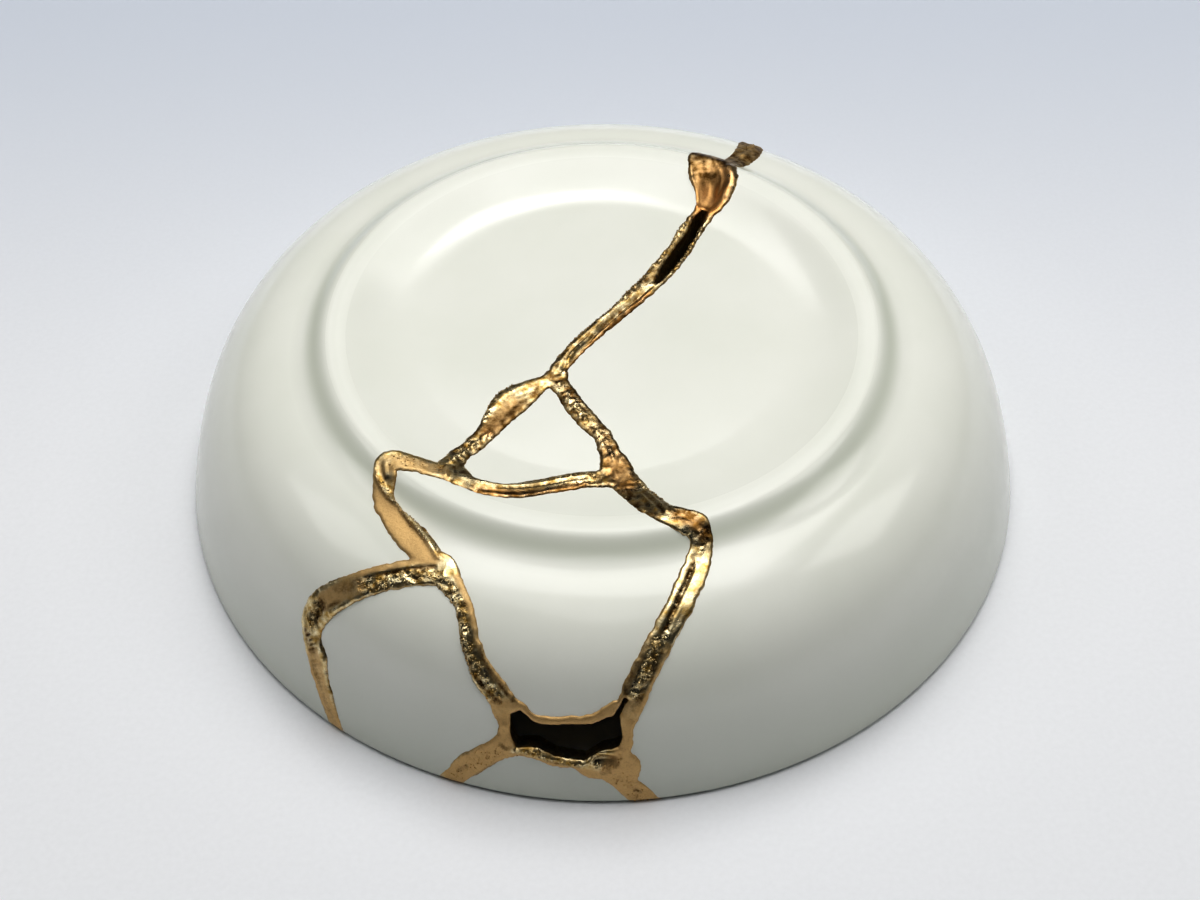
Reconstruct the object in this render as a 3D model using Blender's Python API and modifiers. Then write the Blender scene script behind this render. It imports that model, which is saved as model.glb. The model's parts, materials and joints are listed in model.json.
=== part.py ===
"""Kintsugi dish: a white porcelain dish, broken into six sherds and mended with one seam of gold.

The dish lies upside down on its rim, with its foot ring up. Metres, +Z up, and the origin is the
centre of the rim circle, on the surface that the dish rests on.

The cracks are drawn on the unrolled dish: (u, v) in millimetres, where the distance from (0, 0) is
measured along the outer side from the middle of the base, over the foot ring and down the wall,
and the direction is the direction seen from above, with u along +X and v along +Y.
"""
import bmesh
import bpy
import numpy as np
from math import atan2, cos, hypot, pi, radians, sin
from mathutils import Vector

MM = 0.001

# The dish, in metres
RIM_RADIUS = 0.0700
HEIGHT = 0.0322                     # rim to the crest of the foot ring
BASE_HEIGHT = 0.0292                # the recessed base inside the foot ring
FLOOR_HEIGHT = 0.0247               # the bowl's own floor, seen from below
RECESS_RADIUS = 0.0300              # where the base starts to sweep up to the foot ring
CREST_INNER_RADIUS = 0.0428
CREST_OUTER_RADIUS = 0.0436
SHOULDER_RADIUS = 0.0505            # where the foot ring's soft outer side runs into the wall
SHOULDER_HEIGHT = 0.0290
FLOOR_RADIUS = 0.0440               # the flat part of the bowl's floor
LIP_THICKNESS = 0.0034
LIP_ROUND = 0.0010
SHOULDER_SLOPE = radians(11.0)      # the wall's fall below level where it leaves the foot ring
WALL_LEAN = radians(10.3)           # the wall's lean from upright at the rim
WALL_THICKNESS = 0.0042             # the thickest the wall gets, for the depth of the cracks
CREST_SWEEP = ((0.0365, BASE_HEIGHT), (0.0404, HEIGHT))     # handles of the curve from the base to the crest
CREST_FALL_REACH = 0.0020           # how far the fall from the crest stays level
SHOULDER_RUN_IN = 0.0044            # how far that fall holds the shoulder's slope before it
WALL_REACH = 0.0090                 # how far the wall holds the shoulder's slope after it
WALL_RISE = 0.0205                  # and its lean from the rim
BOWL_REACH = 0.0100                 # the same for the bowl's inside, from its flat floor
BOWL_RISE = 0.0200                  # and from its rim
STEPS_ROUND = 60
SWEEP_STEPS, FALL_STEPS, WALL_STEPS = 5, 5, 7
BOWL_STEPS = 8
SHARP_ANGLE = radians(32)

# The gold and the cracks, in metres
FIT_GAP = 0.0003                    # between the gold and each broken edge
GOLD_PROUD_OUTSIDE = 0.0005
GOLD_PROUD_INSIDE = 0.0003
PROUD_FADE = 0.0040                 # the gold sinks flush over this height above the rim
CUT_CLEARANCE = 0.0025              # how far a cutter runs past each face of the wall
PLUG_CLEARANCE = 0.0012             # how far a gap's cutter runs past the outer face
CUT_PAST_RIM = 0.0200               # how far the cracks' measured surface runs on below the rim
STATION_SPACING = 0.0030
MERGE_DISTANCE = 0.000002

# Each stretch of the gold seam on the unrolled dish: u, v and width, in millimetres
SEAM = {
    "rear_wall": [
        (36.3, 86.0, 3.2), (34.0, 76.0, 3.6), (31.4, 66.0, 4.2), (29.2, 57.0, 4.4), (28.0, 51.0, 4.7),
        (27.0, 47.4, 4.7), (25.4, 44.3, 4.3), (23.5, 41.4, 3.9), (21.8, 38.8, 4.0),
    ],
    "rear_scoop": [
        (19.2, 40.2, 7.4), (19.6, 38.0, 8.4), (20.0, 35.6, 8.4), (19.8, 33.0, 7.0),
        (18.9, 30.4, 5.2), (17.4, 28.0, 3.6), (15.1, 24.0, 3.8),
    ],
    "rear_base": [
        (17.4, 28.0, 3.6), (15.1, 24.0, 3.8), (13.5, 20.0, 4.0), (11.2, 16.0, 4.2), (8.6, 12.0, 3.9),
        (5.5, 8.0, 3.6), (2.5, 4.0, 3.1), (-1.1, 0.0, 3.1), (-4.2, -4.0, 3.0), (-6.7, -8.0, 2.8),
        (-7.5, -10.6, 3.0),
    ],
    "foot_left": [
        (-6.9, -9.8, 3.0), (-9.6, -11.7, 3.0), (-12.3, -13.8, 5.1), (-14.4, -15.9, 5.7),
        (-16.0, -18.6, 4.8), (-17.6, -21.6, 3.6), (-19.8, -24.8, 3.2), (-21.9, -27.4, 3.2),
        (-23.2, -31.0, 4.4),
    ],
    "foot_right": [
        (-7.4, -10.6, 3.2), (-5.6, -13.8, 3.2), (-3.8, -17.3, 3.4), (-1.7, -20.4, 3.3),
        (0.3, -23.4, 3.0), (1.0, -26.0, 3.4), (1.9, -28.6, 4.5), (2.5, -31.4, 4.8),
    ],
    "foot_front": [
        (-22.8, -32.4, 4.0), (-20.0, -34.1, 3.6), (-17.6, -35.1, 3.7), (-15.0, -35.4, 3.8),
        (-12.0, -34.8, 3.9), (-9.0, -33.6, 3.8), (-5.6, -32.6, 3.8), (-2.0, -31.9, 3.6), (2.2, -31.8, 3.8),
    ],
    "left_corner": [
        (-22.0, -32.2, 4.2), (-25.6, -31.7, 3.8), (-28.4, -31.0, 3.6), (-31.2, -30.5, 4.0),
        (-32.7, -31.2, 4.4), (-33.1, -33.4, 4.1), (-33.4, -36.4, 3.5), (-32.3, -39.0, 3.4),
        (-30.4, -41.6, 4.2), (-28.5, -43.8, 4.6), (-26.6, -46.2, 4.2), (-24.9, -48.8, 4.4),
    ],
    "left_rim": [
        (-23.4, -49.4, 4.0), (-28.0, -49.1, 4.2), (-33.0, -49.3, 4.1), (-38.0, -49.9, 4.3),
        (-42.0, -50.7, 5.0), (-45.6, -51.8, 5.2), (-48.0, -53.8, 4.8), (-49.0, -56.6, 4.2),
        (-49.3, -59.0, 4.9), (-50.2, -62.0, 4.0), (-50.9, -66.0, 3.7), (-51.6, -70.0, 3.3),
        (-52.4, -76.6, 3.2),
    ],
    "left_fall": [
        (-24.2, -48.7, 4.2), (-22.5, -51.6, 3.5), (-20.9, -54.2, 2.7), (-20.2, -57.0, 2.8),
        (-20.0, -60.0, 3.0), (-19.2, -62.8, 3.3), (-18.0, -66.0, 4.1), (-16.6, -68.2, 4.2),
        (-14.6, -72.0, 4.2),
    ],
    "right_fall": [
        (2.0, -30.4, 4.6), (3.9, -33.2, 4.6), (5.2, -35.6, 4.5), (6.6, -38.0, 4.5), (8.4, -40.4, 4.3),
        (11.2, -42.2, 4.1), (13.7, -43.5, 4.4), (14.6, -46.2, 3.4), (13.7, -49.8, 4.0),
        (12.3, -53.0, 4.1), (10.9, -56.0, 3.9), (9.3, -59.0, 3.8), (7.6, -62.2, 4.0), (5.7, -66.0, 4.2),
        (4.6, -68.8, 4.3), (3.9, -71.2, 4.0), (3.3, -74.0, 3.0), (3.2, -77.0, 2.8), (2.7, -80.0, 2.6),
        (2.0, -82.6, 3.6), (4.2, -85.2, 4.1), (6.0, -86.9, 4.4), (8.2, -89.2, 4.5), (11.6, -92.8, 4.4),
    ],
    "gap_top": [
        (-13.5, -70.8, 2.6), (-11.6, -72.7, 2.6), (-8.6, -73.3, 2.6), (-4.0, -73.3, 2.6),
        (-1.2, -72.7, 2.6), (1.6, -70.9, 2.6),
    ],
    "gap_left": [
        (-16.4, -70.8, 3.0), (-16.2, -73.6, 2.4), (-17.2, -76.8, 3.6), (-19.4, -78.2, 4.0),
        (-21.5, -79.2, 4.2), (-25.0, -80.9, 4.5), (-27.2, -82.4, 3.8), (-32.0, -85.6, 3.8),
    ],
    "gap_bottom": [
        (-17.8, -77.8, 3.0), (-14.6, -77.9, 2.4), (-12.0, -78.3, 2.4), (-8.8, -79.8, 2.4),
        (-5.4, -80.4, 2.4), (-2.6, -81.2, 4.4), (0.4, -80.9, 6.8), (3.2, -81.6, 6.2),
    ],
}

# Where a piece of porcelain is lost and light comes through: outlines on the unrolled dish, in millimetres,
# and how far each one's broken edge falls back towards the bowl's inside, along u and along v
GAPS = {
    "front_gap": [
        (-15.0, -71.4), (-13.3, -70.9), (-11.2, -73.0), (-9.8, -73.4), (-2.1, -73.4), (1.4, -72.0),
        (3.1, -69.2), (3.8, -69.3), (2.3, -72.1), (3.0, -75.8), (2.4, -77.5), (-1.0, -78.4),
        (-3.5, -80.0), (-8.4, -79.2), (-11.4, -77.4), (-15.0, -77.4), (-15.6, -74.8),
    ],
    "rear_slit": [
        (17.6, 29.4), (16.2, 28.0), (14.8, 24.2), (12.3, 19.6), (10.6, 16.2), (8.7, 11.2),
        (9.4, 11.2), (11.3, 13.6), (13.8, 17.8), (16.2, 23.2), (17.8, 27.2), (18.3, 28.8),
    ],
}

GAP_FLARE = {"front_gap": (0.8, 1.3), "rear_slit": (0.0, 0.0)}

# A place on each sherd that tells it from the others, on the unrolled dish, in millimetres
SHERDS = {
    "sherd_left": (-30.0, 10.0),
    "sherd_right": (30.0, -10.0),
    "sherd_foot": (-10.0, -25.0),
    "sherd_front": (-6.0, -55.0),
    "sherd_front_left": (-36.0, -62.0),
    "sherd_rim": (-10.0, -86.0),
}

GLAZED_PORCELAIN = {"color": (0.80, 0.80, 0.74, 1.0), "roughness": 0.12, "metallic": 0.0}
GOLD = {"color": (0.75, 0.46, 0.16, 1.0), "roughness": 0.30, "metallic": 1.0}


def bezier(start, start_handle, end_handle, end, steps):
    """Points along a cubic Bezier curve after its start, down to its end."""
    corners = np.array((start, start_handle, end_handle, end))
    points = []
    for t in np.linspace(0, 1, steps + 1)[1:]:
        weights = ((1 - t) ** 3, 3 * t * (1 - t) ** 2, 3 * t * t * (1 - t), t ** 3)
        points.append(tuple(np.dot(weights, corners)))
    return points


def outer_profile(fineness=1):
    """The outer side as (radius, height), from the middle of the base out and down to the lip."""
    recess = (RECESS_RADIUS, BASE_HEIGHT)
    crest_inner = (CREST_INNER_RADIUS, HEIGHT)
    crest_outer = (CREST_OUTER_RADIUS, HEIGHT)
    shoulder = (SHOULDER_RADIUS, SHOULDER_HEIGHT)
    lip = (RIM_RADIUS, LIP_ROUND)
    before_shoulder, after_shoulder = (
        (SHOULDER_RADIUS + run * cos(SHOULDER_SLOPE), SHOULDER_HEIGHT - run * sin(SHOULDER_SLOPE))
        for run in (-SHOULDER_RUN_IN, WALL_REACH))
    lip_handle = (RIM_RADIUS - WALL_RISE * sin(WALL_LEAN), LIP_ROUND + WALL_RISE * cos(WALL_LEAN))
    points = [(0.0, BASE_HEIGHT), recess]
    points += bezier(recess, *CREST_SWEEP, crest_inner, SWEEP_STEPS * fineness)
    points.append(crest_outer)
    points += bezier(crest_outer, (CREST_OUTER_RADIUS + CREST_FALL_REACH, HEIGHT), before_shoulder, shoulder,
                     FALL_STEPS * fineness)
    points += bezier(shoulder, after_shoulder, lip_handle, lip, WALL_STEPS * fineness)
    return points


def lip_profile():
    """The rounded lip with its flat, from the end of the outer side to the start of the inner one."""
    outer_centre = RIM_RADIUS - LIP_ROUND
    inner_centre = RIM_RADIUS - LIP_THICKNESS + LIP_ROUND
    points = []
    for centre, turns in ((outer_centre, (30, 60, 90)), (inner_centre, (90, 120, 150))):
        for turn in turns:
            points.append((centre + LIP_ROUND * cos(radians(turn)), LIP_ROUND - LIP_ROUND * sin(radians(turn))))
    return points


def inner_profile():
    """The bowl's inside, from the lip up and in to the middle of its floor."""
    edge = (RIM_RADIUS - LIP_THICKNESS, LIP_ROUND)
    floor_edge = (FLOOR_RADIUS, FLOOR_HEIGHT)
    edge_handle = (edge[0] - BOWL_RISE * sin(WALL_LEAN), edge[1] + BOWL_RISE * cos(WALL_LEAN))
    floor_handle = (FLOOR_RADIUS + BOWL_REACH, FLOOR_HEIGHT)
    return [edge] + bezier(edge, edge_handle, floor_handle, floor_edge, BOWL_STEPS) + [(0.0, FLOOR_HEIGHT)]


def measured_outer_side():
    """Lengths along the outer side, with the radius, height and lean of a crack at each length."""
    profile = np.array(outer_profile(fineness=8))
    wall_end = profile[-1] + CUT_PAST_RIM * np.array((sin(WALL_LEAN), -cos(WALL_LEAN)))
    profile = np.vstack((profile, wall_end))
    runs = np.diff(profile, axis=0)
    lengths = np.concatenate(([0.0], np.cumsum(np.hypot(runs[:, 0], runs[:, 1]))))
    leans = np.arctan2(-runs[:, 1], runs[:, 0])
    shoulder = int(np.argmin(np.hypot(profile[:, 0] - SHOULDER_RADIUS, profile[:, 1] - SHOULDER_HEIGHT)))
    wall_middles = (lengths[shoulder:-1] + lengths[shoulder + 1:]) / 2
    lean_at = np.concatenate(([0.0, RECESS_RADIUS], wall_middles))
    lean = np.concatenate(([0.0, 0.0], leans[shoulder:]))
    return lengths, profile, lean_at, lean


LENGTHS, OUTER_SIDE, LEAN_AT, LEAN = measured_outer_side()


def wall_point(u, v, past_face=0.0):
    """A point at (u, v) mm: past_face above the outer side, or that far past the inner side if negative."""
    distance = hypot(u, v) * MM
    azimuth = atan2(v, u)
    radius = np.interp(distance, LENGTHS, OUTER_SIDE[:, 0])
    height = np.interp(distance, LENGTHS, OUTER_SIDE[:, 1])
    lean = np.interp(distance, LEAN_AT, LEAN)
    offset = past_face
    if past_face < 0:
        offset -= max(height - FLOOR_HEIGHT, WALL_THICKNESS)
    radius += offset * sin(lean)
    return Vector((radius * cos(azimuth), radius * sin(azimuth), height + offset * cos(lean)))


def smooth_route(stations):
    """Stations (u, v, width) joined by a smooth Catmull-Rom curve, with points evenly between them."""
    stations = np.array(stations)
    padded = np.vstack((stations[:1], stations, stations[-1:]))
    route = []
    for before, start, end, after in zip(padded, padded[1:], padded[2:], padded[3:]):
        run = hypot(*(end - start)[:2]) * MM
        steps = max(1, round(run / STATION_SPACING))
        for t in np.arange(steps) / steps:
            route.append(0.5 * (2 * start + (end - before) * t
                                + (2 * before - 5 * start + 4 * end - after) * t ** 2
                                + (3 * start - before - 3 * end + after) * t ** 3))
    route.append(stations[-1])
    return np.array(route)


def new_object(name, mesh, collection):
    """An object with this mesh, in this collection."""
    obj = bpy.data.objects.new(name, mesh)
    collection.objects.link(obj)
    return obj


def mesh_from(name, build):
    """A closed mesh that build fills in, with its faces pointing out.

    Each four-cornered face is split along the same diagonal, so that a narrow loft and a wide one
    along the same route keep their distance where the wall twists them.
    """
    bm = bmesh.new()
    build(bm)
    bmesh.ops.triangulate(bm, faces=bm.faces, quad_method="FIXED")
    bmesh.ops.recalc_face_normals(bm, faces=bm.faces)
    mesh = bpy.data.meshes.new(name)
    bm.to_mesh(mesh)
    bm.free()
    return mesh


def seam_strip(name, stations, wider):
    """A loft along one stretch of the seam, right through the wall, wider all round than the stretch."""
    route = smooth_route(stations)
    headings = np.gradient(route[:, :2], axis=0)
    headings /= np.linalg.norm(headings, axis=1)[:, None]
    route[0, :2] -= headings[0] * wider / MM
    route[-1, :2] += headings[-1] * wider / MM
    route[:, 2] += 2 * wider / MM

    def build(bm):
        sections = []
        for (u, v, width), (du, dv) in zip(route, headings):
            left = (u - dv * width / 2, v + du * width / 2)
            right = (u + dv * width / 2, v - du * width / 2)
            corners = ((left, CUT_CLEARANCE), (right, CUT_CLEARANCE),
                       (right, -CUT_CLEARANCE), (left, -CUT_CLEARANCE))
            sections.append([bm.verts.new(wall_point(*place, past_face)) for place, past_face in corners])
        for section, following in zip(sections, sections[1:]):
            for a in range(4):
                b = (a + 1) % 4
                bm.faces.new((section[a], section[b], following[b], following[a]))
        bm.faces.new(sections[0])
        bm.faces.new(sections[-1])

    return mesh_from(name, build)


def gap_plug(name, outline, flare):
    """A plug of this outline on the unrolled dish, right through the wall and wider on the inside."""
    outline = np.array(outline)
    middle = (outline.max(axis=0) + outline.min(axis=0)) / 2
    reach = (outline.max(axis=0) - outline.min(axis=0)) / 2
    inner_outline = middle + (outline - middle) * (1 + np.array(flare) / reach)

    def build(bm):
        outside = [bm.verts.new(wall_point(u, v, PLUG_CLEARANCE)) for u, v in outline]
        inside = [bm.verts.new(wall_point(u, v, -CUT_CLEARANCE)) for u, v in inner_outline]
        for a in range(len(outline)):
            b = (a + 1) % len(outline)
            bm.faces.new((outside[a], outside[b], inside[b], inside[a]))
        bm.faces.new(outside)
        bm.faces.new(inside)

    return mesh_from(name, build)


def turned(name, profile, collection):
    """A profile turned about Z: it runs from the axis down the outer side and back up the inside."""
    mesh = bpy.data.meshes.new(name)
    mesh.from_pydata([(radius, 0.0, height) for radius, height in profile],
                     [(i, i + 1) for i in range(len(profile) - 1)], [])
    obj = new_object(name, mesh, collection)
    screw = obj.modifiers.new("Turn", "SCREW")
    screw.axis = "Z"
    screw.angle = 2 * pi
    screw.steps = screw.render_steps = STEPS_ROUND
    screw.use_merge_vertices = True
    screw.merge_threshold = MERGE_DISTANCE
    return obj


def dish_profile():
    """The whole porcelain section."""
    return outer_profile() + lip_profile() + inner_profile()


def gold_profile():
    """The section that the gold fills: the porcelain's, a little proud on both sides above the rim."""
    section = np.array(dish_profile())
    outer_count = len(outer_profile())
    runs = np.gradient(section, axis=0)
    runs[0] = (1.0, 0.0)
    runs[-1] = (-1.0, 0.0)
    profile = []
    for place, (point, run) in enumerate(zip(section, runs)):
        outward = np.array((-run[1], run[0])) / hypot(*run)
        proud = GOLD_PROUD_OUTSIDE if place < outer_count else GOLD_PROUD_INSIDE
        fade = min(max((point[1] - LIP_ROUND) / PROUD_FADE, 0.0), 1.0)
        profile.append(tuple(point + outward * proud * fade))
    profile[0] = (0.0, profile[0][1])
    profile[-1] = (0.0, profile[-1][1])
    return profile


def add_boolean(obj, operation, cutter):
    """Cut or join with an object, or with all the objects of a collection."""
    boolean = obj.modifiers.new(operation.title(), "BOOLEAN")
    boolean.operation = operation
    boolean.solver = "EXACT"
    if isinstance(cutter, bpy.types.Collection):
        boolean.operand_type = "COLLECTION"
        boolean.collection = cutter
    else:
        boolean.object = cutter


def solid(obj):
    """Apply an object's modifiers, and merge the points that a cut leaves on top of each other."""
    mesh = bpy.data.meshes.new_from_object(obj.evaluated_get(bpy.context.evaluated_depsgraph_get()))
    obj.modifiers.clear()
    bm = bmesh.new()
    bm.from_mesh(mesh)
    bmesh.ops.remove_doubles(bm, verts=bm.verts, dist=MERGE_DISTANCE)
    bmesh.ops.dissolve_degenerate(bm, edges=bm.edges, dist=MERGE_DISTANCE)
    bmesh.ops.triangulate(bm, faces=bm.faces)
    bm.to_mesh(mesh)
    bm.free()
    mesh.shade_smooth()
    mesh.set_sharp_from_angle(angle=SHARP_ANGLE)
    obj.data = mesh
    return obj


def separate_sherds(shell):
    """Part the cut shell into its loose pieces, and name each by the place that it holds."""
    bpy.ops.object.select_all(action="DESELECT")
    bpy.context.view_layer.objects.active = shell
    shell.select_set(True)
    bpy.ops.mesh.separate(type="LOOSE")
    pieces = list(bpy.context.selected_objects)
    if len(pieces) != len(SHERDS):
        raise ValueError(f"the cracks part the dish into {len(pieces)} pieces, not {len(SHERDS)}")
    for name, (u, v) in SHERDS.items():
        place = wall_point(u, v)
        piece = min(pieces, key=lambda obj: min((vert.co - place).length for vert in obj.data.vertices))
        pieces.remove(piece)
        piece.name = name
        piece.data.name = name


def make_material(name, finish):
    """A Principled material of one colour."""
    material = bpy.data.materials.new(name)
    material.use_nodes = True
    shader = material.node_tree.nodes["Principled BSDF"]
    shader.inputs["Base Color"].default_value = finish["color"]
    shader.inputs["Roughness"].default_value = finish["roughness"]
    shader.inputs["Metallic"].default_value = finish["metallic"]
    material.diffuse_color = finish["color"]
    return material


def new_collection(name, parent):
    """A collection inside another."""
    collection = bpy.data.collections.new(name)
    parent.children.link(collection)
    return collection


def hide_cutters(collection):
    """Mark the cutters as guides, so that they are no part of the dish."""
    for cutter in collection.all_objects:
        cutter.hide_render = True
        cutter.display_type = "WIRE"


def main():
    for obj in list(bpy.data.objects):
        bpy.data.objects.remove(obj, do_unlink=True)
    scene_collection = bpy.context.scene.collection
    dish = new_collection("kintsugi_dish", scene_collection)
    cutters = new_collection("cutters", scene_collection)
    crack_cutters = new_collection("crack_cutters", cutters)
    seam_strips = new_collection("seam_strips", cutters)
    gap_plugs = new_collection("gap_plugs", cutters)

    for name, stations in SEAM.items():
        new_object(name + "_crack", seam_strip(name + "_crack", stations, FIT_GAP), crack_cutters)
    for name, outline in GAPS.items():
        plug = gap_plug(name, outline, GAP_FLARE[name])
        new_object(name, plug, gap_plugs)
        new_object(name + "_crack", plug.copy(), crack_cutters)
    porcelain = make_material("glazed_porcelain", GLAZED_PORCELAIN)
    shell = turned("shell", dish_profile(), dish)
    add_boolean(shell, "DIFFERENCE", crack_cutters)
    solid(shell).data.materials.append(porcelain)
    separate_sherds(shell)

    stretches = list(SEAM.items())
    first_name, first_stations = stretches[0]
    network = new_object("seam_network", seam_strip("seam_network", first_stations, 0.0), cutters)
    for name, stations in stretches[1:]:
        new_object(name, seam_strip(name, stations, 0.0), seam_strips)
    add_boolean(network, "UNION", seam_strips)
    solid(network)
    gold = turned("gold_seam", gold_profile(), dish)
    add_boolean(gold, "INTERSECT", network)
    add_boolean(gold, "DIFFERENCE", gap_plugs)
    solid(gold).data.materials.append(make_material("gold", GOLD))
    hide_cutters(cutters)


main()
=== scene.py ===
"""Looks of the kintsugi dish: six sherds of glazed porcelain, the gold seam that mends them, the stage.

The script is laid out as a Blender add-on and is run as a script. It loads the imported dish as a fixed
frame, then builds a dressed piece in the place of each solid.

Meshes are in metres, in the frame's own axes. The seam is drawn on the unrolled dish, in millimetres:
(u, v) is a place on the outer side, its distance from (0, 0) is measured along the section from the
middle of the base, and its direction is the direction seen from above, with u along +X and v along +Y.
"""

import json
from math import ceil, cos, hypot, pi, radians, sin

import bmesh
import bpy
import numpy as np
from bpy.props import FloatProperty, FloatVectorProperty, IntProperty, PointerProperty
from mathutils import Euler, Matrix, Vector, kdtree, noise

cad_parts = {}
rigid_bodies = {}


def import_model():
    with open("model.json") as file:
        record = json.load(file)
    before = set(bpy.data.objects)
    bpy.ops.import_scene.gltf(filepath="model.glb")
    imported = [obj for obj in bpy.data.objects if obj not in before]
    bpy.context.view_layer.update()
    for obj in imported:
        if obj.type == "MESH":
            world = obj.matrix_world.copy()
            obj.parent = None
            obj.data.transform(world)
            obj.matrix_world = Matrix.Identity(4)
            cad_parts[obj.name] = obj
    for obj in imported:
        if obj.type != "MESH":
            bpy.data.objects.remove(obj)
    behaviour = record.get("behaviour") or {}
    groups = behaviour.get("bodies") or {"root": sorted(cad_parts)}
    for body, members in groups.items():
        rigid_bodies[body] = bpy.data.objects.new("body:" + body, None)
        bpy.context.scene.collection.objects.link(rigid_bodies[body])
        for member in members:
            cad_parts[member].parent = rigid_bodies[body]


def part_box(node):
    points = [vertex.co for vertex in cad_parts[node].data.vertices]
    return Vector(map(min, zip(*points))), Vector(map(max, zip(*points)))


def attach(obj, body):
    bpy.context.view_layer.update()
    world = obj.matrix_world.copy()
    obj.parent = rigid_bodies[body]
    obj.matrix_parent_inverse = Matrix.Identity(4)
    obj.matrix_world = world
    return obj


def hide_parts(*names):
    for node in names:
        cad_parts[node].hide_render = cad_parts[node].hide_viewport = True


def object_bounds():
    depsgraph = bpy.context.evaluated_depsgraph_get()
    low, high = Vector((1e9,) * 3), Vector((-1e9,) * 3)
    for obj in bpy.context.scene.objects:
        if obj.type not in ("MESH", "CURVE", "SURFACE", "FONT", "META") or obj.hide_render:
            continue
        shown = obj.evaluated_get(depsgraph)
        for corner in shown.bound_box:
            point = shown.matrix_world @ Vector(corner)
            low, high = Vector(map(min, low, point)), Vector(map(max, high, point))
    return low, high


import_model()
CAD_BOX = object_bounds()

bl_info = {
    "name": "Kintsugi dish",
    "version": (1, 0, 0),
    "blender": (4, 5, 0),
    "location": "3D View > Sidebar > Kintsugi",
    "description": "Builds the glazed sherds and the gold seam of a mended porcelain dish",
    "category": "Add Mesh",
}

MM = 0.001
MERGE_DISTANCE = 0.000001
RIM_RADIUS = CAD_BOX[1].x
CREST_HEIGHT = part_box("sherd_left")[1].z

# Where the glaze differs, in metres: how far from the axis the corner outside the foot ring and the ring's
# crest lie, how far beside them it changes, how high over the rim the painted shade reaches, and its share
# at the rim. The corner and the rim get painted shade, with the glaze drawn darker where shade falls. The
# crest only turns rougher.
SHADE_CORNER_RADIUS, SHADE_CORNER_REACH = 0.0464, 0.0024
CREST_RADIUS, CREST_RUB_REACH, CREST_RUB_FULL = 0.0427, 0.0024, 0.0004
PAINTED_SHADE_BELOW, PAINTED_SHADE_AT_RIM = 0.016, 0.9

# How dark the hollows of the card's tooth are, and between which Y, in metres, painted shade turns it deeper
TOOTH_SHADE = 0.93
CARD_SHADE_FROM, CARD_SHADE_TO = -0.02, 0.16

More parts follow.
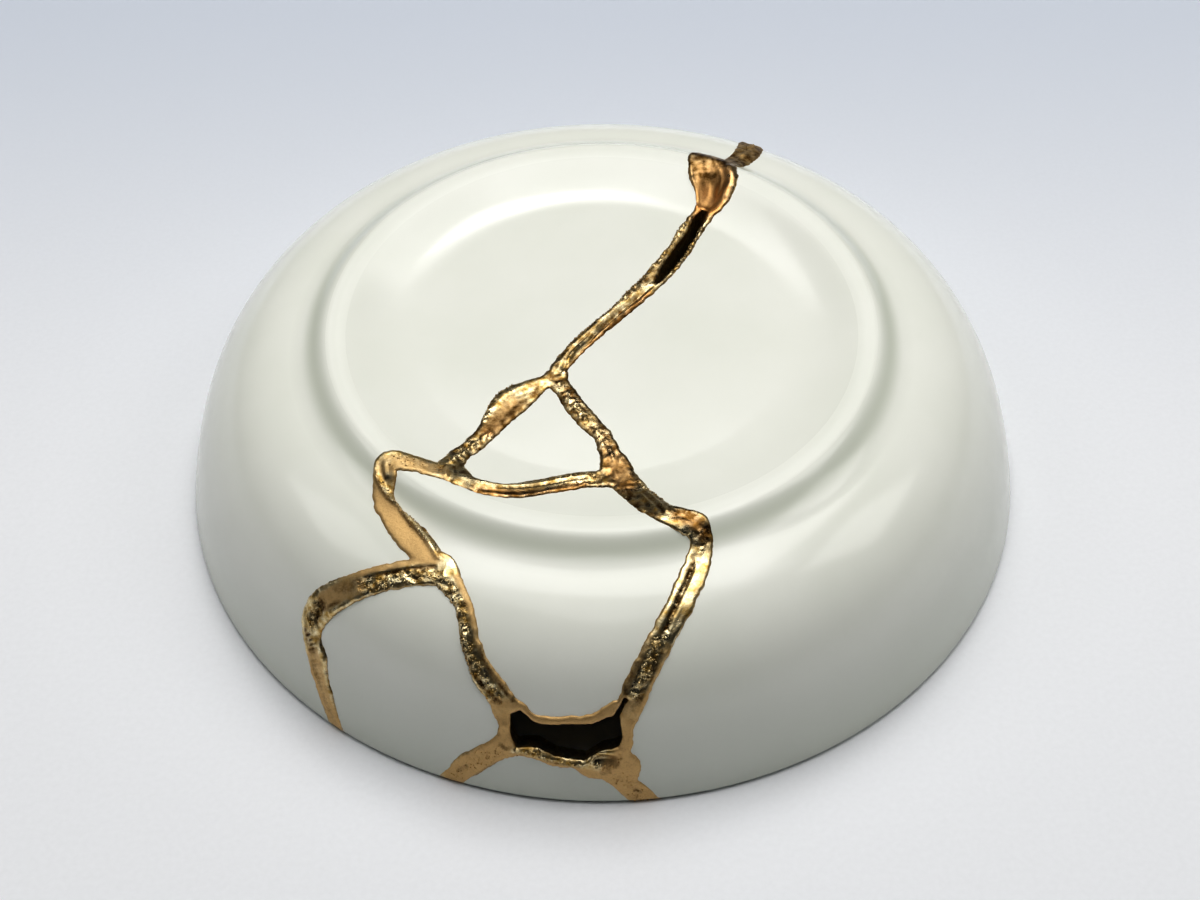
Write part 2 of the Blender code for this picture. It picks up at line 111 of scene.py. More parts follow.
# Each stretch of the gold seam on the unrolled dish: u, v and width, in millimetres
SEAM = {
    "rear_wall": [
        (36.3, 86.0, 3.2), (34.0, 76.0, 3.6), (31.4, 66.0, 4.2), (29.2, 57.0, 4.4), (28.0, 51.0, 4.7),
        (27.0, 47.4, 4.7), (25.4, 44.3, 4.3), (23.5, 41.4, 3.9), (21.8, 38.8, 4.0),
    ],
    "rear_scoop": [
        (19.2, 40.2, 7.4), (19.6, 38.0, 8.4), (20.0, 35.6, 8.4), (19.8, 33.0, 7.0),
        (18.9, 30.4, 5.2), (17.4, 28.0, 3.6), (15.1, 24.0, 3.8),
    ],
    "rear_base": [
        (17.4, 28.0, 3.6), (15.1, 24.0, 3.8), (13.5, 20.0, 4.0), (11.2, 16.0, 4.2), (8.6, 12.0, 3.9),
        (5.5, 8.0, 3.6), (2.5, 4.0, 3.1), (-1.1, 0.0, 3.1), (-4.2, -4.0, 3.0), (-6.7, -8.0, 2.8),
        (-7.5, -10.6, 3.0),
    ],
    "foot_left": [
        (-6.9, -9.8, 3.0), (-9.6, -11.7, 3.0), (-12.3, -13.8, 5.1), (-14.4, -15.9, 5.7),
        (-16.0, -18.6, 4.8), (-17.6, -21.6, 3.6), (-19.8, -24.8, 3.2), (-21.9, -27.4, 3.2),
        (-23.2, -31.0, 4.4),
    ],
    "foot_right": [
        (-7.4, -10.6, 3.2), (-5.6, -13.8, 3.2), (-3.8, -17.3, 3.4), (-1.7, -20.4, 3.3),
        (0.3, -23.4, 3.0), (1.0, -26.0, 3.4), (1.9, -28.6, 4.5), (2.5, -31.4, 4.8),
    ],
    "foot_front": [
        (-22.8, -32.4, 4.0), (-20.0, -34.1, 3.6), (-17.6, -35.1, 3.7), (-15.0, -35.4, 3.8),
        (-12.0, -34.8, 3.9), (-9.0, -33.6, 3.8), (-5.6, -32.6, 3.8), (-2.0, -31.9, 3.6), (2.2, -31.8, 3.8),
    ],
    "left_corner": [
        (-22.0, -32.2, 4.2), (-25.6, -31.7, 3.8), (-28.4, -31.0, 3.6), (-31.2, -30.5, 4.0),
        (-32.7, -31.2, 4.4), (-33.1, -33.4, 4.1), (-33.4, -36.4, 3.5), (-32.3, -39.0, 3.4),
        (-30.4, -41.6, 4.2), (-28.5, -43.8, 4.6), (-26.6, -46.2, 4.2), (-24.9, -48.8, 4.4),
    ],
    "left_rim": [
        (-23.4, -49.4, 4.0), (-28.0, -49.1, 4.2), (-33.0, -49.3, 4.1), (-38.0, -49.9, 4.3),
        (-42.0, -50.7, 5.0), (-45.6, -51.8, 5.2), (-48.0, -53.8, 4.8), (-49.0, -56.6, 4.2),
        (-49.3, -59.0, 4.9), (-50.2, -62.0, 4.0), (-50.9, -66.0, 3.7), (-51.6, -70.0, 3.3),
        (-52.4, -76.6, 3.2),
    ],
    "left_fall": [
        (-24.2, -48.7, 4.2), (-22.5, -51.6, 3.5), (-20.9, -54.2, 2.7), (-20.2, -57.0, 2.8),
        (-20.0, -60.0, 3.0), (-19.2, -62.8, 3.3), (-18.0, -66.0, 4.1), (-16.6, -68.2, 4.2),
        (-14.6, -72.0, 4.2),
    ],
    "right_fall": [
        (2.0, -30.4, 4.6), (3.9, -33.2, 4.6), (5.2, -35.6, 4.5), (6.6, -38.0, 4.5), (8.4, -40.4, 4.3),
        (11.2, -42.2, 4.1), (13.7, -43.5, 4.4), (14.6, -46.2, 3.4), (13.7, -49.8, 4.0),
        (12.3, -53.0, 4.1), (10.9, -56.0, 3.9), (9.3, -59.0, 3.8), (7.6, -62.2, 4.0), (5.7, -66.0, 4.2),
        (4.6, -68.8, 4.3), (3.9, -71.2, 4.0), (3.3, -74.0, 3.0), (3.2, -77.0, 2.8), (2.7, -80.0, 2.6),
        (2.0, -82.6, 3.6), (4.2, -85.2, 4.1), (6.0, -86.9, 4.4), (8.2, -89.2, 4.5), (11.6, -92.8, 4.4),
    ],
    "gap_top": [
        (-13.5, -70.8, 2.6), (-11.6, -72.7, 2.6), (-8.6, -73.3, 2.6), (-4.0, -73.3, 2.6),
        (-1.2, -72.7, 2.6), (1.6, -70.9, 2.6),
    ],
    "gap_left": [
        (-16.4, -70.8, 3.0), (-16.2, -73.6, 2.4), (-17.2, -76.8, 3.6), (-19.4, -78.2, 4.0),
        (-21.5, -79.2, 4.2), (-25.0, -80.9, 4.5), (-27.2, -82.4, 3.8), (-32.0, -85.6, 3.8),
    ],
    "gap_bottom": [
        (-17.8, -77.8, 3.0), (-14.6, -77.9, 2.4), (-12.0, -78.3, 2.4), (-8.8, -79.8, 2.4),
        (-5.4, -80.4, 2.4), (-2.6, -81.2, 4.4), (0.4, -80.9, 6.8), (3.2, -81.6, 6.2),
    ],
}

# Where a piece of porcelain is lost and light comes through: outlines on the unrolled dish, in millimetres
GAPS = {
    "front_gap": [
        (-15.0, -71.4), (-13.3, -70.9), (-11.2, -73.0), (-9.8, -73.4), (-2.1, -73.4), (1.4, -72.0),
        (3.1, -69.2), (3.8, -69.3), (2.3, -72.1), (3.0, -75.8), (2.4, -77.5), (-1.0, -78.4),
        (-3.5, -80.0), (-8.4, -79.2), (-11.4, -77.4), (-15.0, -77.4), (-15.6, -74.8),
    ],
    "rear_slit": [
        (17.6, 29.4), (16.2, 28.0), (14.8, 24.2), (12.3, 19.6), (10.6, 16.2), (8.7, 11.2),
        (9.4, 11.2), (11.3, 13.6), (13.8, 17.8), (16.2, 23.2), (17.8, 27.2), (18.3, 28.8),
    ],
}

# How far each gap's broken edge falls back towards the bowl's inside, along u and along v
GAP_FLARE = {"front_gap": (0.8, 1.3), "rear_slit": (0.0, 0.0)}

# How narrow a crack may get, and how far cracks and gaps are cut past the wall's two sides, in millimetres
LEAST_CRACK, CUT_PAST, GAP_CUT_PAST = 0.6, 2.5, 1.2

# A place on each sherd that tells it from the others, on the unrolled dish, in millimetres
SHERDS = {
    "sherd_left": (-30.0, 10.0),
    "sherd_right": (30.0, -10.0),
    "sherd_foot": (-10.0, -25.0),
    "sherd_front": (-6.0, -55.0),
    "sherd_front_left": (-36.0, -62.0),
    "sherd_rim": (-10.0, -86.0),
}

# How the gold lies. Each stroke is a texture, its reach to the left and to the right of its line in
# millimetres, and the line's points: u, v and an amount. For soft, edge, ribs and brushed that is a height
# in millimetres, below 0 in a hollow. For grain, bronze, matt, warm and smooth it is a share from 0 to 1.
RELIEF = [
    # Over the base, from the crossing up to the slit: lumps on the left, and a thin ridge in a dark groove
    ("grain", 0.8, 0.8, [(-7.3, -6.2, 0.8), (-4.9, -2.6, 0.9), (-2.2, 1.0, 0.9), (0.9, 5.0, 1.0),
        (4.2, 9.0, 1.0), (7.3, 13.4, 1.0), (9.9, 17.6, 1.0), (12.0, 21.8, 1.0), (14.2, 25.8, 0.8)]),
    ("edge", 0.6, 0.9, [(-6.7, -7.0, 0.16), (-4.4, -3.2, 0.22), (-1.5, 0.6, 0.22), (1.7, 4.8, 0.22),
        (5.0, 8.8, 0.16)]),
    ("edge", 0.5, 0.45, [(-6.0, -8.4, -0.20), (-3.0, -3.9, -0.34), (0.2, 0.8, -0.40), (3.2, 4.5, -0.40),
        (6.3, 7.9, -0.34), (8.2, 10.2, -0.20)]),
    ("bronze", 0.5, 0.5, [(-6.0, -8.4, 0.6), (-3.0, -3.9, 0.9), (0.2, 0.8, 0.9), (3.2, 4.5, 1.0),
        (8.2, 10.2, 0.8)]),
    ("edge", 0.25, 0.35, [(-5.5, -7.7, 0.26), (-4.7, -5.2, 0.34), (-2.0, -1.8, 0.30)]),
    ("edge", 0.25, 0.35, [(1.0, 0.7, 0.26), (2.2, 2.4, 0.36), (3.4, 3.8, 0.30)]),
    ("bronze", 1.0, 1.2, [(-5.4, -9.2, 0.9), (-2.3, -4.2, 1.0), (1.0, 0.0, 1.0), (4.2, 3.8, 1.0),
        (7.7, 8.6, 0.9)]),
    ("bronze", 0.9, 0.9, [(-7.8, -5.4, 0.7), (-5.0, -1.6, 0.9), (-2.0, 2.0, 0.8), (1.0, 6.0, 0.9),
        (4.4, 10.0, 0.8)]),
    ("edge", 0.5, 0.5, [(8.0, 14.6, 0.18), (10.4, 18.4, 0.22), (12.4, 22.2, 0.20), (14.6, 26.4, 0.16)]),
    ("grain", 0.6, 0.6, [(10.9, 12.6, 0.7), (13.4, 16.6, 0.8), (15.5, 20.6, 0.8), (17.0, 24.6, 0.7)]),
    # The scoop behind the slit: a hollow with a thin rim on the left and a bright wall on the right
    ("soft", 2.8, 2.4, [(19.2, 37.2, -0.35), (19.3, 35.4, -1.1), (19.1, 33.0, -1.2), (18.4, 30.8, -0.6)]),
    ("edge", 0.5, 0.7, [(15.9, 38.4, 0.30), (16.2, 35.6, 0.35), (16.7, 32.6, 0.35), (16.6, 30.0, 0.25)]),
    ("soft", 1.4, 1.4, [(22.6, 37.6, 0.35), (23.0, 34.4, 0.45), (21.8, 32.0, 0.30)]),
    ("edge", 0.3, 0.3, [(20.8, 38.0, 0.14), (21.2, 35.2, 0.18), (20.3, 32.4, 0.12)]),
    ("smooth", 4.6, 4.6, [(19.4, 40.0, 1.0), (19.6, 36.0, 1.0), (19.0, 32.0, 1.0)]),
    ("brushed", 3.8, 3.8, [(19.2, 41.0, 0.10), (19.6, 36.0, 0.10), (18.6, 30.6, 0.06)]),
    ("bronze", 7.0, 7.6, [(18.0, 42.4, 1.0), (18.0, 39.6, 1.0)]),
    ("bronze", 4.4, 6.0, [(17.6, 39.4, 1.0), (17.4, 36.4, 0.8), (17.6, 33.6, 0.45), (18.0, 31.6, 0.2)]),
    # Painted reflection: the warm share gives the hollow the orange glow of light bounced inside it
    ("warm", 5.6, 5.6, [(18.6, 40.6, 0.4), (19.6, 37.0, 0.9), (19.2, 33.6, 1.0), (18.2, 30.6, 0.9)]),
    ("matt", 3.6, 3.6, [(18.2, 40.6, 0.4), (18.8, 36.0, 0.5), (18.6, 33.0, 0.4)]),
    # Painted glints: a warmer tone at the edges and the joins of the strands over the base
    ("warm", 0.8, 0.8, [(-5.4, -9.2, 0.7), (-2.3, -4.2, 0.8), (1.0, 0.0, 0.8), (4.2, 3.8, 0.8),
        (7.7, 8.6, 0.7)]),
    ("warm", 1.8, 1.8, [(-13.8, -16.6, 0.5), (-15.6, -19.6, 0.8), (-17.4, -22.0, 0.7)]),
    ("warm", 2.6, 2.6, [(0.3, -24.4, 0.2), (2.2, -29.4, 0.7), (3.4, -33.6, 0.6)]),
    ("warm", 1.6, 1.6, [(10.8, -42.0, 0.5), (13.4, -43.0, 0.6), (15.0, -44.4, 0.4)]),
    ("warm", 1.2, 1.2, [(-18.8, -36.4, 0.6), (-12.4, -36.2, 0.6), (-3.0, -33.4, 0.6)]),
    ("smooth", 3.4, 3.4, [(15.0, 24.2, 0.6), (11.2, 16.4, 0.8), (5.5, 8.0, 0.9), (-1.1, 0.0, 0.9),
        (-7.0, -9.4, 0.9)]),
    ("brushed", 2.4, 2.4, [(13.6, 20.6, 0.12), (8.6, 12.0, 0.16), (2.5, 4.0, 0.22), (-4.2, -4.0, 0.22),
        (-7.2, -9.8, 0.16)]),
    ("smooth", 4.0, 4.0, [(-10.0, -12.0, 0.8), (-14.4, -15.9, 0.9), (-16.6, -19.6, 0.8)]),
    ("smooth", 3.0, 3.0, [(-7.0, -11.0, 0.8), (-3.8, -17.3, 0.8), (0.3, -23.4, 0.8)]),
    # Over the foot ring at the back, dark and mottled
    ("bronze", 3.6, 3.6, [(21.0, 40.4, 1.0), (24.6, 43.0, 1.0), (27.0, 47.6, 0.9), (28.0, 52.0, 0.8)]),
    ("matt", 3.4, 3.4, [(23.4, 42.0, 0.5), (25.4, 44.6, 0.7), (27.2, 48.0, 0.7), (28.6, 53.0, 0.8)]),
    ("grain", 0.9, 0.9, [(25.6, 47.2, 0.6), (28.4, 50.6, 0.7)]),
    ("edge", 1.0, 1.4, [(22.4, 39.6, 0.2), (25.0, 43.8, 0.3), (27.4, 47.8, 0.3), (28.6, 52.0, 0.3)]),
    # The strands over the base as a whole: browner than those on the walls, as painted shade for the darker
    # surroundings that the flat gold mirrors
    ("bronze", 4.4, 4.4, [(16.6, 28.0, 0.70), (15.0, 24.2, 0.70), (11.2, 16.4, 0.75), (5.5, 8.0, 0.85),
        (-1.1, 0.0, 0.90), (-7.0, -9.4, 0.85)]),
    ("bronze", 5.4, 5.4, [(-7.0, -10.0, 0.85), (-13.0, -14.4, 0.60), (-18.4, -22.4, 0.90),
        (-20.8, -25.8, 0.85)]),
    ("bronze", 4.4, 4.4, [(-7.0, -10.6, 0.90), (-3.8, -17.3, 0.95), (0.3, -23.4, 0.85),
        (2.2, -29.0, 0.80)]),
    ("bronze", 4.0, 4.0, [(-17.4, -34.9, 0.70), (-15.0, -35.4, 0.60), (-9.0, -33.6, 0.60),
        (1.0, -31.6, 0.75)]),
    ("bronze", 4.0, 4.0, [(3.0, -32.0, 0.75), (6.6, -38.0, 0.70), (10.0, -41.4, 0.60)]),
    # From the crossing to the left: a smooth lump with a bright crest, a grainy line between dark sides
    ("soft", 1.1, 2.0, [(-8.8, -10.8, 0.10), (-12.2, -12.6, 0.30), (-15.0, -14.5, 0.34),
        (-16.9, -17.0, 0.24)]),
    ("grain", 0.6, 0.5, [(-13.9, -12.0, 0.5), (-16.2, -13.6, 0.7), (-17.6, -16.2, 0.8),
        (-18.0, -19.6, 0.7)]),
    ("ribs", 0.5, 0.7, [(-16.8, -15.2, 0.10), (-17.7, -17.6, 0.12), (-18.1, -20.2, 0.10)]),
    ("ribs", 1.2, 1.2, [(-11.6, -12.4, 0.05), (-14.4, -14.2, 0.07), (-16.4, -16.8, 0.05)]),
    ("soft", 1.3, 1.2, [(-13.6, -16.0, -0.14), (-15.4, -18.6, -0.20), (-16.4, -20.4, -0.10)]),
    ("matt", 1.8, 1.8, [(-13.2, -15.8, 0.4), (-15.4, -18.8, 0.8), (-16.6, -21.0, 0.6)]),
    ("bronze", 1.8, 1.6, [(-13.6, -16.2, 0.6), (-15.6, -19.2, 0.9), (-17.0, -21.4, 0.9)]),
    ("bronze", 1.7, 1.7, [(-9.0, -12.8, 0.9), (-11.6, -15.8, 1.0), (-13.8, -18.4, 1.0),
        (-16.0, -21.4, 1.0)]),
    ("bronze", 0.9, 0.8, [(-18.6, -20.8, 0.8), (-20.4, -23.2, 0.9), (-22.2, -26.0, 0.9),
        (-24.0, -28.2, 0.8)]),
    ("edge", 0.8, 0.6, [(-17.4, -22.6, 0.18), (-19.4, -24.7, 0.26), (-21.2, -26.9, 0.24),
        (-22.8, -29.0, 0.20)]),
    ("grain", 0.7, 0.6, [(-17.4, -22.6, 0.9), (-19.4, -24.6, 1.0), (-21.2, -26.8, 1.0),
        (-22.8, -29.2, 0.9)]),
    ("bronze", 0.4, 0.7, [(-16.8, -23.0, 0.9), (-18.8, -25.6, 0.9), (-20.6, -28.0, 0.9),
        (-21.4, -30.6, 0.8)]),
    # From the crossing to the right: a grainy line between dark sides, ending in a smooth lump
    ("bronze", 0.9, 0.9, [(-7.3, -12.8, 0.8), (-5.6, -17.2, 0.9), (-3.0, -20.8, 0.8), (-1.2, -24.6, 0.7),
        (-0.6, -28.0, 0.6)]),
    ("bronze", 1.9, 1.9, [(-5.0, -12.0, 1.0), (-2.6, -16.6, 1.0), (0.4, -20.6, 1.0), (1.8, -24.4, 1.0),
        (3.4, -27.2, 1.0)]),
    ("smooth", 1.6, 1.6, [(-5.0, -12.0, 1.0), (-2.6, -16.6, 1.0), (0.4, -20.6, 1.0), (1.8, -24.4, 1.0)]),
    ("grain", 0.7, 0.7, [(-6.5, -12.2, 0.9), (-5.0, -15.4, 1.0), (-3.3, -18.4, 1.0), (-1.4, -21.2, 1.0),
        (0.5, -24.6, 0.9)]),
    ("edge", 0.9, 0.9, [(-6.5, -12.2, 0.14), (-5.0, -15.4, 0.20), (-3.3, -18.4, 0.20), (-1.4, -21.2, 0.18),
        (0.5, -24.6, 0.14)]),
    ("edge", 0.30, 0.40, [(1.0, -25.6, 0.24), (1.4, -27.0, 0.34), (1.8, -28.6, 0.24)]),
    ("edge", 0.30, 0.30, [(1.9, -30.4, 0.26), (2.0, -31.8, 0.26)]),
    ("soft", 1.2, 1.2, [(2.6, -28.2, 0.16), (3.6, -30.4, 0.16), (4.4, -32.2, 0.10)]),
    ("matt", 1.6, 1.6, [(2.2, -28.6, 0.4), (2.8, -31.6, 0.5)]),
    # Along the inside of the foot ring: a dark upper third, a bright flat band, and a dark lower border
    ("bronze", 1.3, 0.9, [(-21.2, -32.2, 0.9), (-18.4, -33.6, 1.0), (-15.2, -34.0, 1.0),
        (-11.8, -33.3, 0.9), (-8.6, -32.2, 0.7), (-5.4, -31.0, 0.4)]),
    ("edge", 0.5, 1.7, [(-21.6, -33.0, 0.30), (-18.4, -34.2, 0.55), (-15.4, -34.6, 0.50),
        (-12.0, -33.9, 0.36), (-8.8, -32.7, 0.26), (-5.4, -31.7, 0.26), (-2.0, -31.0, 0.24)]),
    ("edge", 0.22, 0.22, [(-15.6, -35.4, -0.16), (-12.2, -34.7, -0.24), (-9.0, -33.5, -0.24),
        (-5.6, -32.4, -0.22), (-2.4, -31.8, -0.20)]),
    ("bronze", 0.3, 0.3, [(-14.0, -35.0, 0.9), (-9.0, -33.5, 0.8), (-2.4, -31.8, 0.6)]),
    ("bronze", 0.9, 1.3, [(-22.0, -34.6, 0.8), (-18.8, -36.2, 1.0), (-15.6, -36.9, 1.0),
        (-12.4, -36.3, 1.0), (-9.2, -35.2, 0.8), (-5.6, -34.2, 0.8), (-1.8, -33.5, 0.8)]),
    ("grain", 0.5, 0.5, [(-7.6, -32.0, 0.5), (-4.2, -31.2, 0.7), (-1.0, -31.2, 0.8)]),
    ("grain", 0.4, 0.4, [(-5.6, -33.4, 0.6), (-1.4, -32.7, 0.6)]),
    ("smooth", 2.2, 2.2, [(-21.6, -33.0, 0.8), (-15.4, -35.0, 1.0), (-8.8, -33.4, 1.0),
        (-2.0, -31.8, 0.9)]),
    # A small raised facet where the left corner starts, outlined by a thin dark line
    ("edge", 0.14, 0.14, [(-23.2, -30.2, -0.22), (-24.3, -31.4, -0.26), (-24.7, -32.8, -0.22)]),
    ("bronze", 0.2, 0.2, [(-23.2, -30.2, 1.0), (-24.3, -31.4, 1.0), (-24.7, -32.8, 1.0)]),
    ("edge", 0.5, 0.5, [(-23.6, -31.0, 0.24), (-23.6, -33.6, 0.34)]),
    ("bronze", 0.35, 0.35, [(-22.4, -30.6, 0.9), (-22.2, -33.2, 0.9)]),
    # The left corner: brushed flat, a sharp ridge round the bend, a tan facet outside it, a groove inside
    ("ribs", 1.5, 1.5, [(-25.6, -31.6, 0.035), (-28.6, -31.0, 0.045), (-31.0, -30.4, 0.035)]),
    ("edge", 0.8, 0.5, [(-34.4, -30.6, 0.30), (-34.1, -32.6, 0.45), (-32.8, -35.6, 0.42),
        (-30.8, -38.0, 0.38), (-28.8, -41.0, 0.38), (-26.4, -44.2, 0.38), (-24.6, -47.2, 0.30)]),
    ("soft", 0.5, 0.5, [(-32.8, -31.0, 0.18), (-32.5, -33.0, 0.20)]),
    ("matt", 0.2, 4.4, [(-34.4, -31.8, 0.8), (-32.9, -36.0, 1.0), (-31.0, -38.4, 1.0), (-28.9, -41.4, 1.0),
        (-26.2, -45.0, 1.0)]),
    ("edge", 0.35, 0.35, [(-34.0, -32.8, 0.34), (-32.7, -35.8, 0.38), (-30.6, -38.2, 0.34),
        (-28.6, -41.2, 0.34), (-26.2, -44.4, 0.30)]),
    ("bronze", 1.6, 1.6, [(-31.5, -32.6, 0.5), (-31.0, -35.4, 0.6)]),
    ("grain", 0.5, 0.5, [(-34.0, -32.8, 0.5), (-32.7, -35.8, 0.7), (-30.6, -38.2, 0.9), (-28.6, -41.2, 1.0),
        (-26.2, -44.4, 0.9)]),
    ("matt", 2.0, 1.6, [(-24.4, -32.4, 0.6), (-27.0, -32.0, 0.8), (-30.6, -31.2, 0.8),
        (-32.8, -31.2, 0.6)]),
    ("matt", 2.0, 0.2, [(-32.0, -32.4, 0.5), (-31.2, -35.6, 0.4)]),
    ("grain", 1.3, 1.3, [(-24.6, -31.6, 0.25), (-28.0, -31.0, 0.3), (-31.4, -30.6, 0.25)]),
    ("edge", 0.35, 0.35, [(-31.5, -36.0, -0.24), (-30.1, -38.0, -0.32), (-27.9, -41.0, -0.34),
        (-25.6, -44.4, -0.30), (-24.2, -47.2, -0.20)]),
    ("bronze", 0.6, 0.6, [(-31.3, -36.2, 0.9), (-29.9, -38.2, 1.0), (-27.7, -41.2, 1.0),
        (-25.3, -44.6, 1.0), (-24.0, -47.6, 0.8)]),
    ("bronze", 0.5, 0.5, [(-29.8, -32.8, 0.8), (-27.0, -33.8, 1.0), (-23.8, -34.6, 1.0)]),
    ("smooth", 2.8, 2.8, [(-26.0, -31.6, 0.7), (-32.6, -31.4, 0.8), (-33.2, -36.0, 0.9),
        (-30.8, -40.6, 0.9), (-27.4, -44.6, 0.9), (-25.4, -47.4, 0.8)]),
    # Along the left towards the rim: a tan upper band, a dark crack line, grains, a crater and cross ribs
    ("matt", 1.0, 0.5, [(-40.0, -48.6, 0.5), (-36.0, -48.1, 0.9), (-31.0, -47.8, 0.9),
        (-27.6, -47.6, 0.8)]),
    ("edge", 0.3, 0.3, [(-36.0, -48.9, -0.24), (-32.0, -48.7, -0.30), (-28.0, -48.6, -0.34),
        (-25.0, -48.6, -0.24)]),
    ("bronze", 0.4, 0.5, [(-38.0, -49.2, 0.7), (-34.0, -48.9, 1.0), (-28.0, -48.6, 1.0),
        (-24.8, -48.7, 0.8)]),
    ("grain", 1.3, 1.3, [(-36.4, -50.0, 0.8), (-32.6, -49.9, 1.0), (-28.4, -49.7, 1.0),
        (-24.6, -49.9, 1.0)]),
    ("matt", 1.8, 1.8, [(-43.8, -50.8, 0.9), (-40.6, -50.2, 0.9), (-37.6, -49.8, 0.6)]),
    ("bronze", 1.0, 1.0, [(-41.0, -49.4, 0.4), (-38.4, -49.8, 0.6)]),
    ("soft", 0.7, 0.7, [(-43.0, -52.8, 0.24), (-40.6, -52.2, 0.24)]),
    ("bronze", 0.4, 0.4, [(-43.4, -51.8, 0.8), (-40.4, -51.4, 0.8)]),
    ("soft", 1.7, 1.7, [(-46.8, -52.6, -0.55), (-45.2, -51.4, -0.55)]),
    ("bronze", 1.7, 1.7, [(-46.8, -52.8, 0.9), (-44.8, -51.4, 0.9)]),
    ("grain", 1.4, 1.4, [(-47.4, -53.0, 0.9), (-45.0, -51.2, 1.0)]),
    ("ribs", 1.4, 1.4, [(-49.2, -54.6, 0.20), (-49.4, -58.2, 0.18)]),
    ("bronze", 1.4, 1.4, [(-49.2, -54.8, 1.0), (-49.4, -57.4, 0.8)]),
    ("ribs", 1.5, 1.5, [(-49.8, -58.8, 0.07), (-50.7, -64.0, 0.06), (-51.4, -70.6, 0.05)]),
    ("matt", 1.9, 1.9, [(-49.6, -58.6, 0.8), (-50.7, -64.0, 0.9), (-51.4, -71.0, 0.9)]),
    ("bronze", 0.7, 0.7, [(-50.3, -59.6, 0.5), (-51.0, -64.6, 0.4), (-51.4, -69.0, 0.3)]),
    # Down the front from the left corner: coarse grains with a flat tan right border
    ("grain", 1.3, 1.3, [(-24.4, -50.2, 1.0), (-22.6, -52.6, 1.0), (-21.2, -55.6, 1.0), (-20.8, -58.6, 1.0),
        (-20.0, -62.4, 0.9), (-18.4, -66.4, 0.8), (-16.8, -68.8, 0.7)]),
    ("matt", 0.6, 0.7, [(-21.6, -50.6, 0.9), (-20.2, -53.6, 0.9), (-19.2, -56.6, 0.9), (-18.6, -60.0, 0.7),
        (-17.0, -64.4, 0.8), (-14.4, -68.2, 0.9)]),
    ("bronze", 0.6, 0.6, [(-21.6, -58.0, 0.7), (-21.2, -60.6, 0.8), (-20.0, -64.2, 1.0),
        (-18.4, -67.0, 0.9), (-16.4, -69.2, 1.0)]),
    ("bronze", 0.4, 0.4, [(-18.8, -60.4, 0.8), (-18.0, -63.2, 0.9), (-16.0, -66.6, 0.9),
        (-14.2, -69.2, 0.9)]),
    # Down the front on the right: two long ridges, a dark polished bend, two pale bands beside a groove,
    # then dull grains
    ("bronze", 1.3, 1.3, [(2.8, -34.0, 0.9), (4.4, -37.4, 1.0), (6.0, -40.4, 0.9), (7.8, -42.4, 0.8)]),
    ("edge", 0.35, 0.35, [(5.4, -35.4, 0.24), (6.8, -38.4, 0.34), (8.4, -41.4, 0.24)]),
    ("edge", 0.35, 0.35, [(6.8, -35.6, 0.24), (8.2, -38.4, 0.30), (9.4, -41.2, 0.20)]),
    ("bronze", 0.25, 0.25, [(6.2, -35.8, 0.8), (7.6, -38.8, 0.9), (9.0, -41.8, 0.6)]),
    ("grain", 0.5, 0.5, [(5.2, -32.8, 0.6), (7.6, -35.6, 0.9), (9.0, -37.6, 0.7)]),
    ("bronze", 0.6, 0.7, [(5.6, -31.4, 0.7), (7.6, -35.0, 0.8), (9.8, -38.4, 0.8), (12.6, -40.6, 0.9),
        (15.6, -41.9, 0.8)]),
    ("bronze", 3.0, 3.0, [(7.8, -38.2, 0.9), (9.8, -40.0, 1.0), (12.2, -41.8, 1.0), (14.4, -42.8, 1.0),
        (15.2, -44.4, 1.0)]),
    ("brushed", 1.6, 1.6, [(9.4, -40.8, 0.14), (12.2, -42.2, 0.16), (14.6, -43.4, 0.14)]),
    ("soft", 1.2, 1.2, [(11.2, -41.6, -0.14), (13.4, -42.6, -0.24), (15.0, -43.8, -0.14)]),
    ("grain", 0.6, 0.6, [(13.6, -44.8, 0.8), (15.2, -44.6, 0.8), (14.4, -47.2, 0.8)]),
    ("grain", 0.4, 0.4, [(10.8, -44.0, 0.8), (12.4, -45.0, 0.8)]),
    ("edge", 0.55, 0.55, [(13.2, -49.6, -0.34), (12.0, -52.6, -0.40), (10.6, -55.6, -0.40),
        (9.2, -58.6, -0.34), (8.0, -60.6, -0.20)]),
    ("bronze", 0.7, 0.7, [(13.6, -47.6, 0.8), (12.4, -51.4, 1.0), (10.6, -55.4, 1.0), (9.0, -58.8, 1.0)]),
    ("grain", 0.4, 0.4, [(13.6, -49.0, 0.8), (11.8, -52.8, 0.4), (10.4, -56.2, 0.9), (8.8, -60.8, 0.9)]),
    ("bronze", 0.8, 0.8, [(6.4, -61.2, 0.5), (5.0, -64.2, 0.6), (3.4, -67.6, 0.8), (2.6, -69.4, 0.9)]),
    ("bronze", 0.7, 0.7, [(8.4, -62.0, 0.6), (7.2, -65.2, 0.8), (5.6, -68.6, 0.8), (4.6, -70.8, 0.6)]),
    ("matt", 0.9, 0.9, [(9.6, -61.6, 0.5), (8.4, -65.2, 0.8), (6.8, -68.8, 0.9), (5.8, -71.2, 0.9)]),
    ("matt", 0.7, 0.7, [(6.6, -59.8, 0.5), (5.0, -63.6, 0.6), (3.4, -67.0, 0.6)]),
    ("grain", 1.0, 1.0, [(8.0, -60.6, 0.9), (6.8, -63.6, 0.9), (5.6, -66.4, 0.9), (4.6, -69.0, 0.6)]),
    ("smooth", 2.4, 2.4, [(5.4, -35.6, 0.7), (8.6, -41.0, 0.8), (13.4, -43.2, 0.8), (14.4, -46.8, 0.6),
        (12.8, -52.0, 0.9), (10.6, -56.0, 0.9), (8.8, -59.4, 0.8)]),
    ("brushed", 2.2, 2.2, [(14.2, -47.2, 0.10), (12.6, -52.0, 0.12), (10.6, -56.0, 0.12),
        (8.8, -59.6, 0.10)]),
    # Round the gap and down to the rim: flat tan bands with small dark pits, a brown ledge low on the right
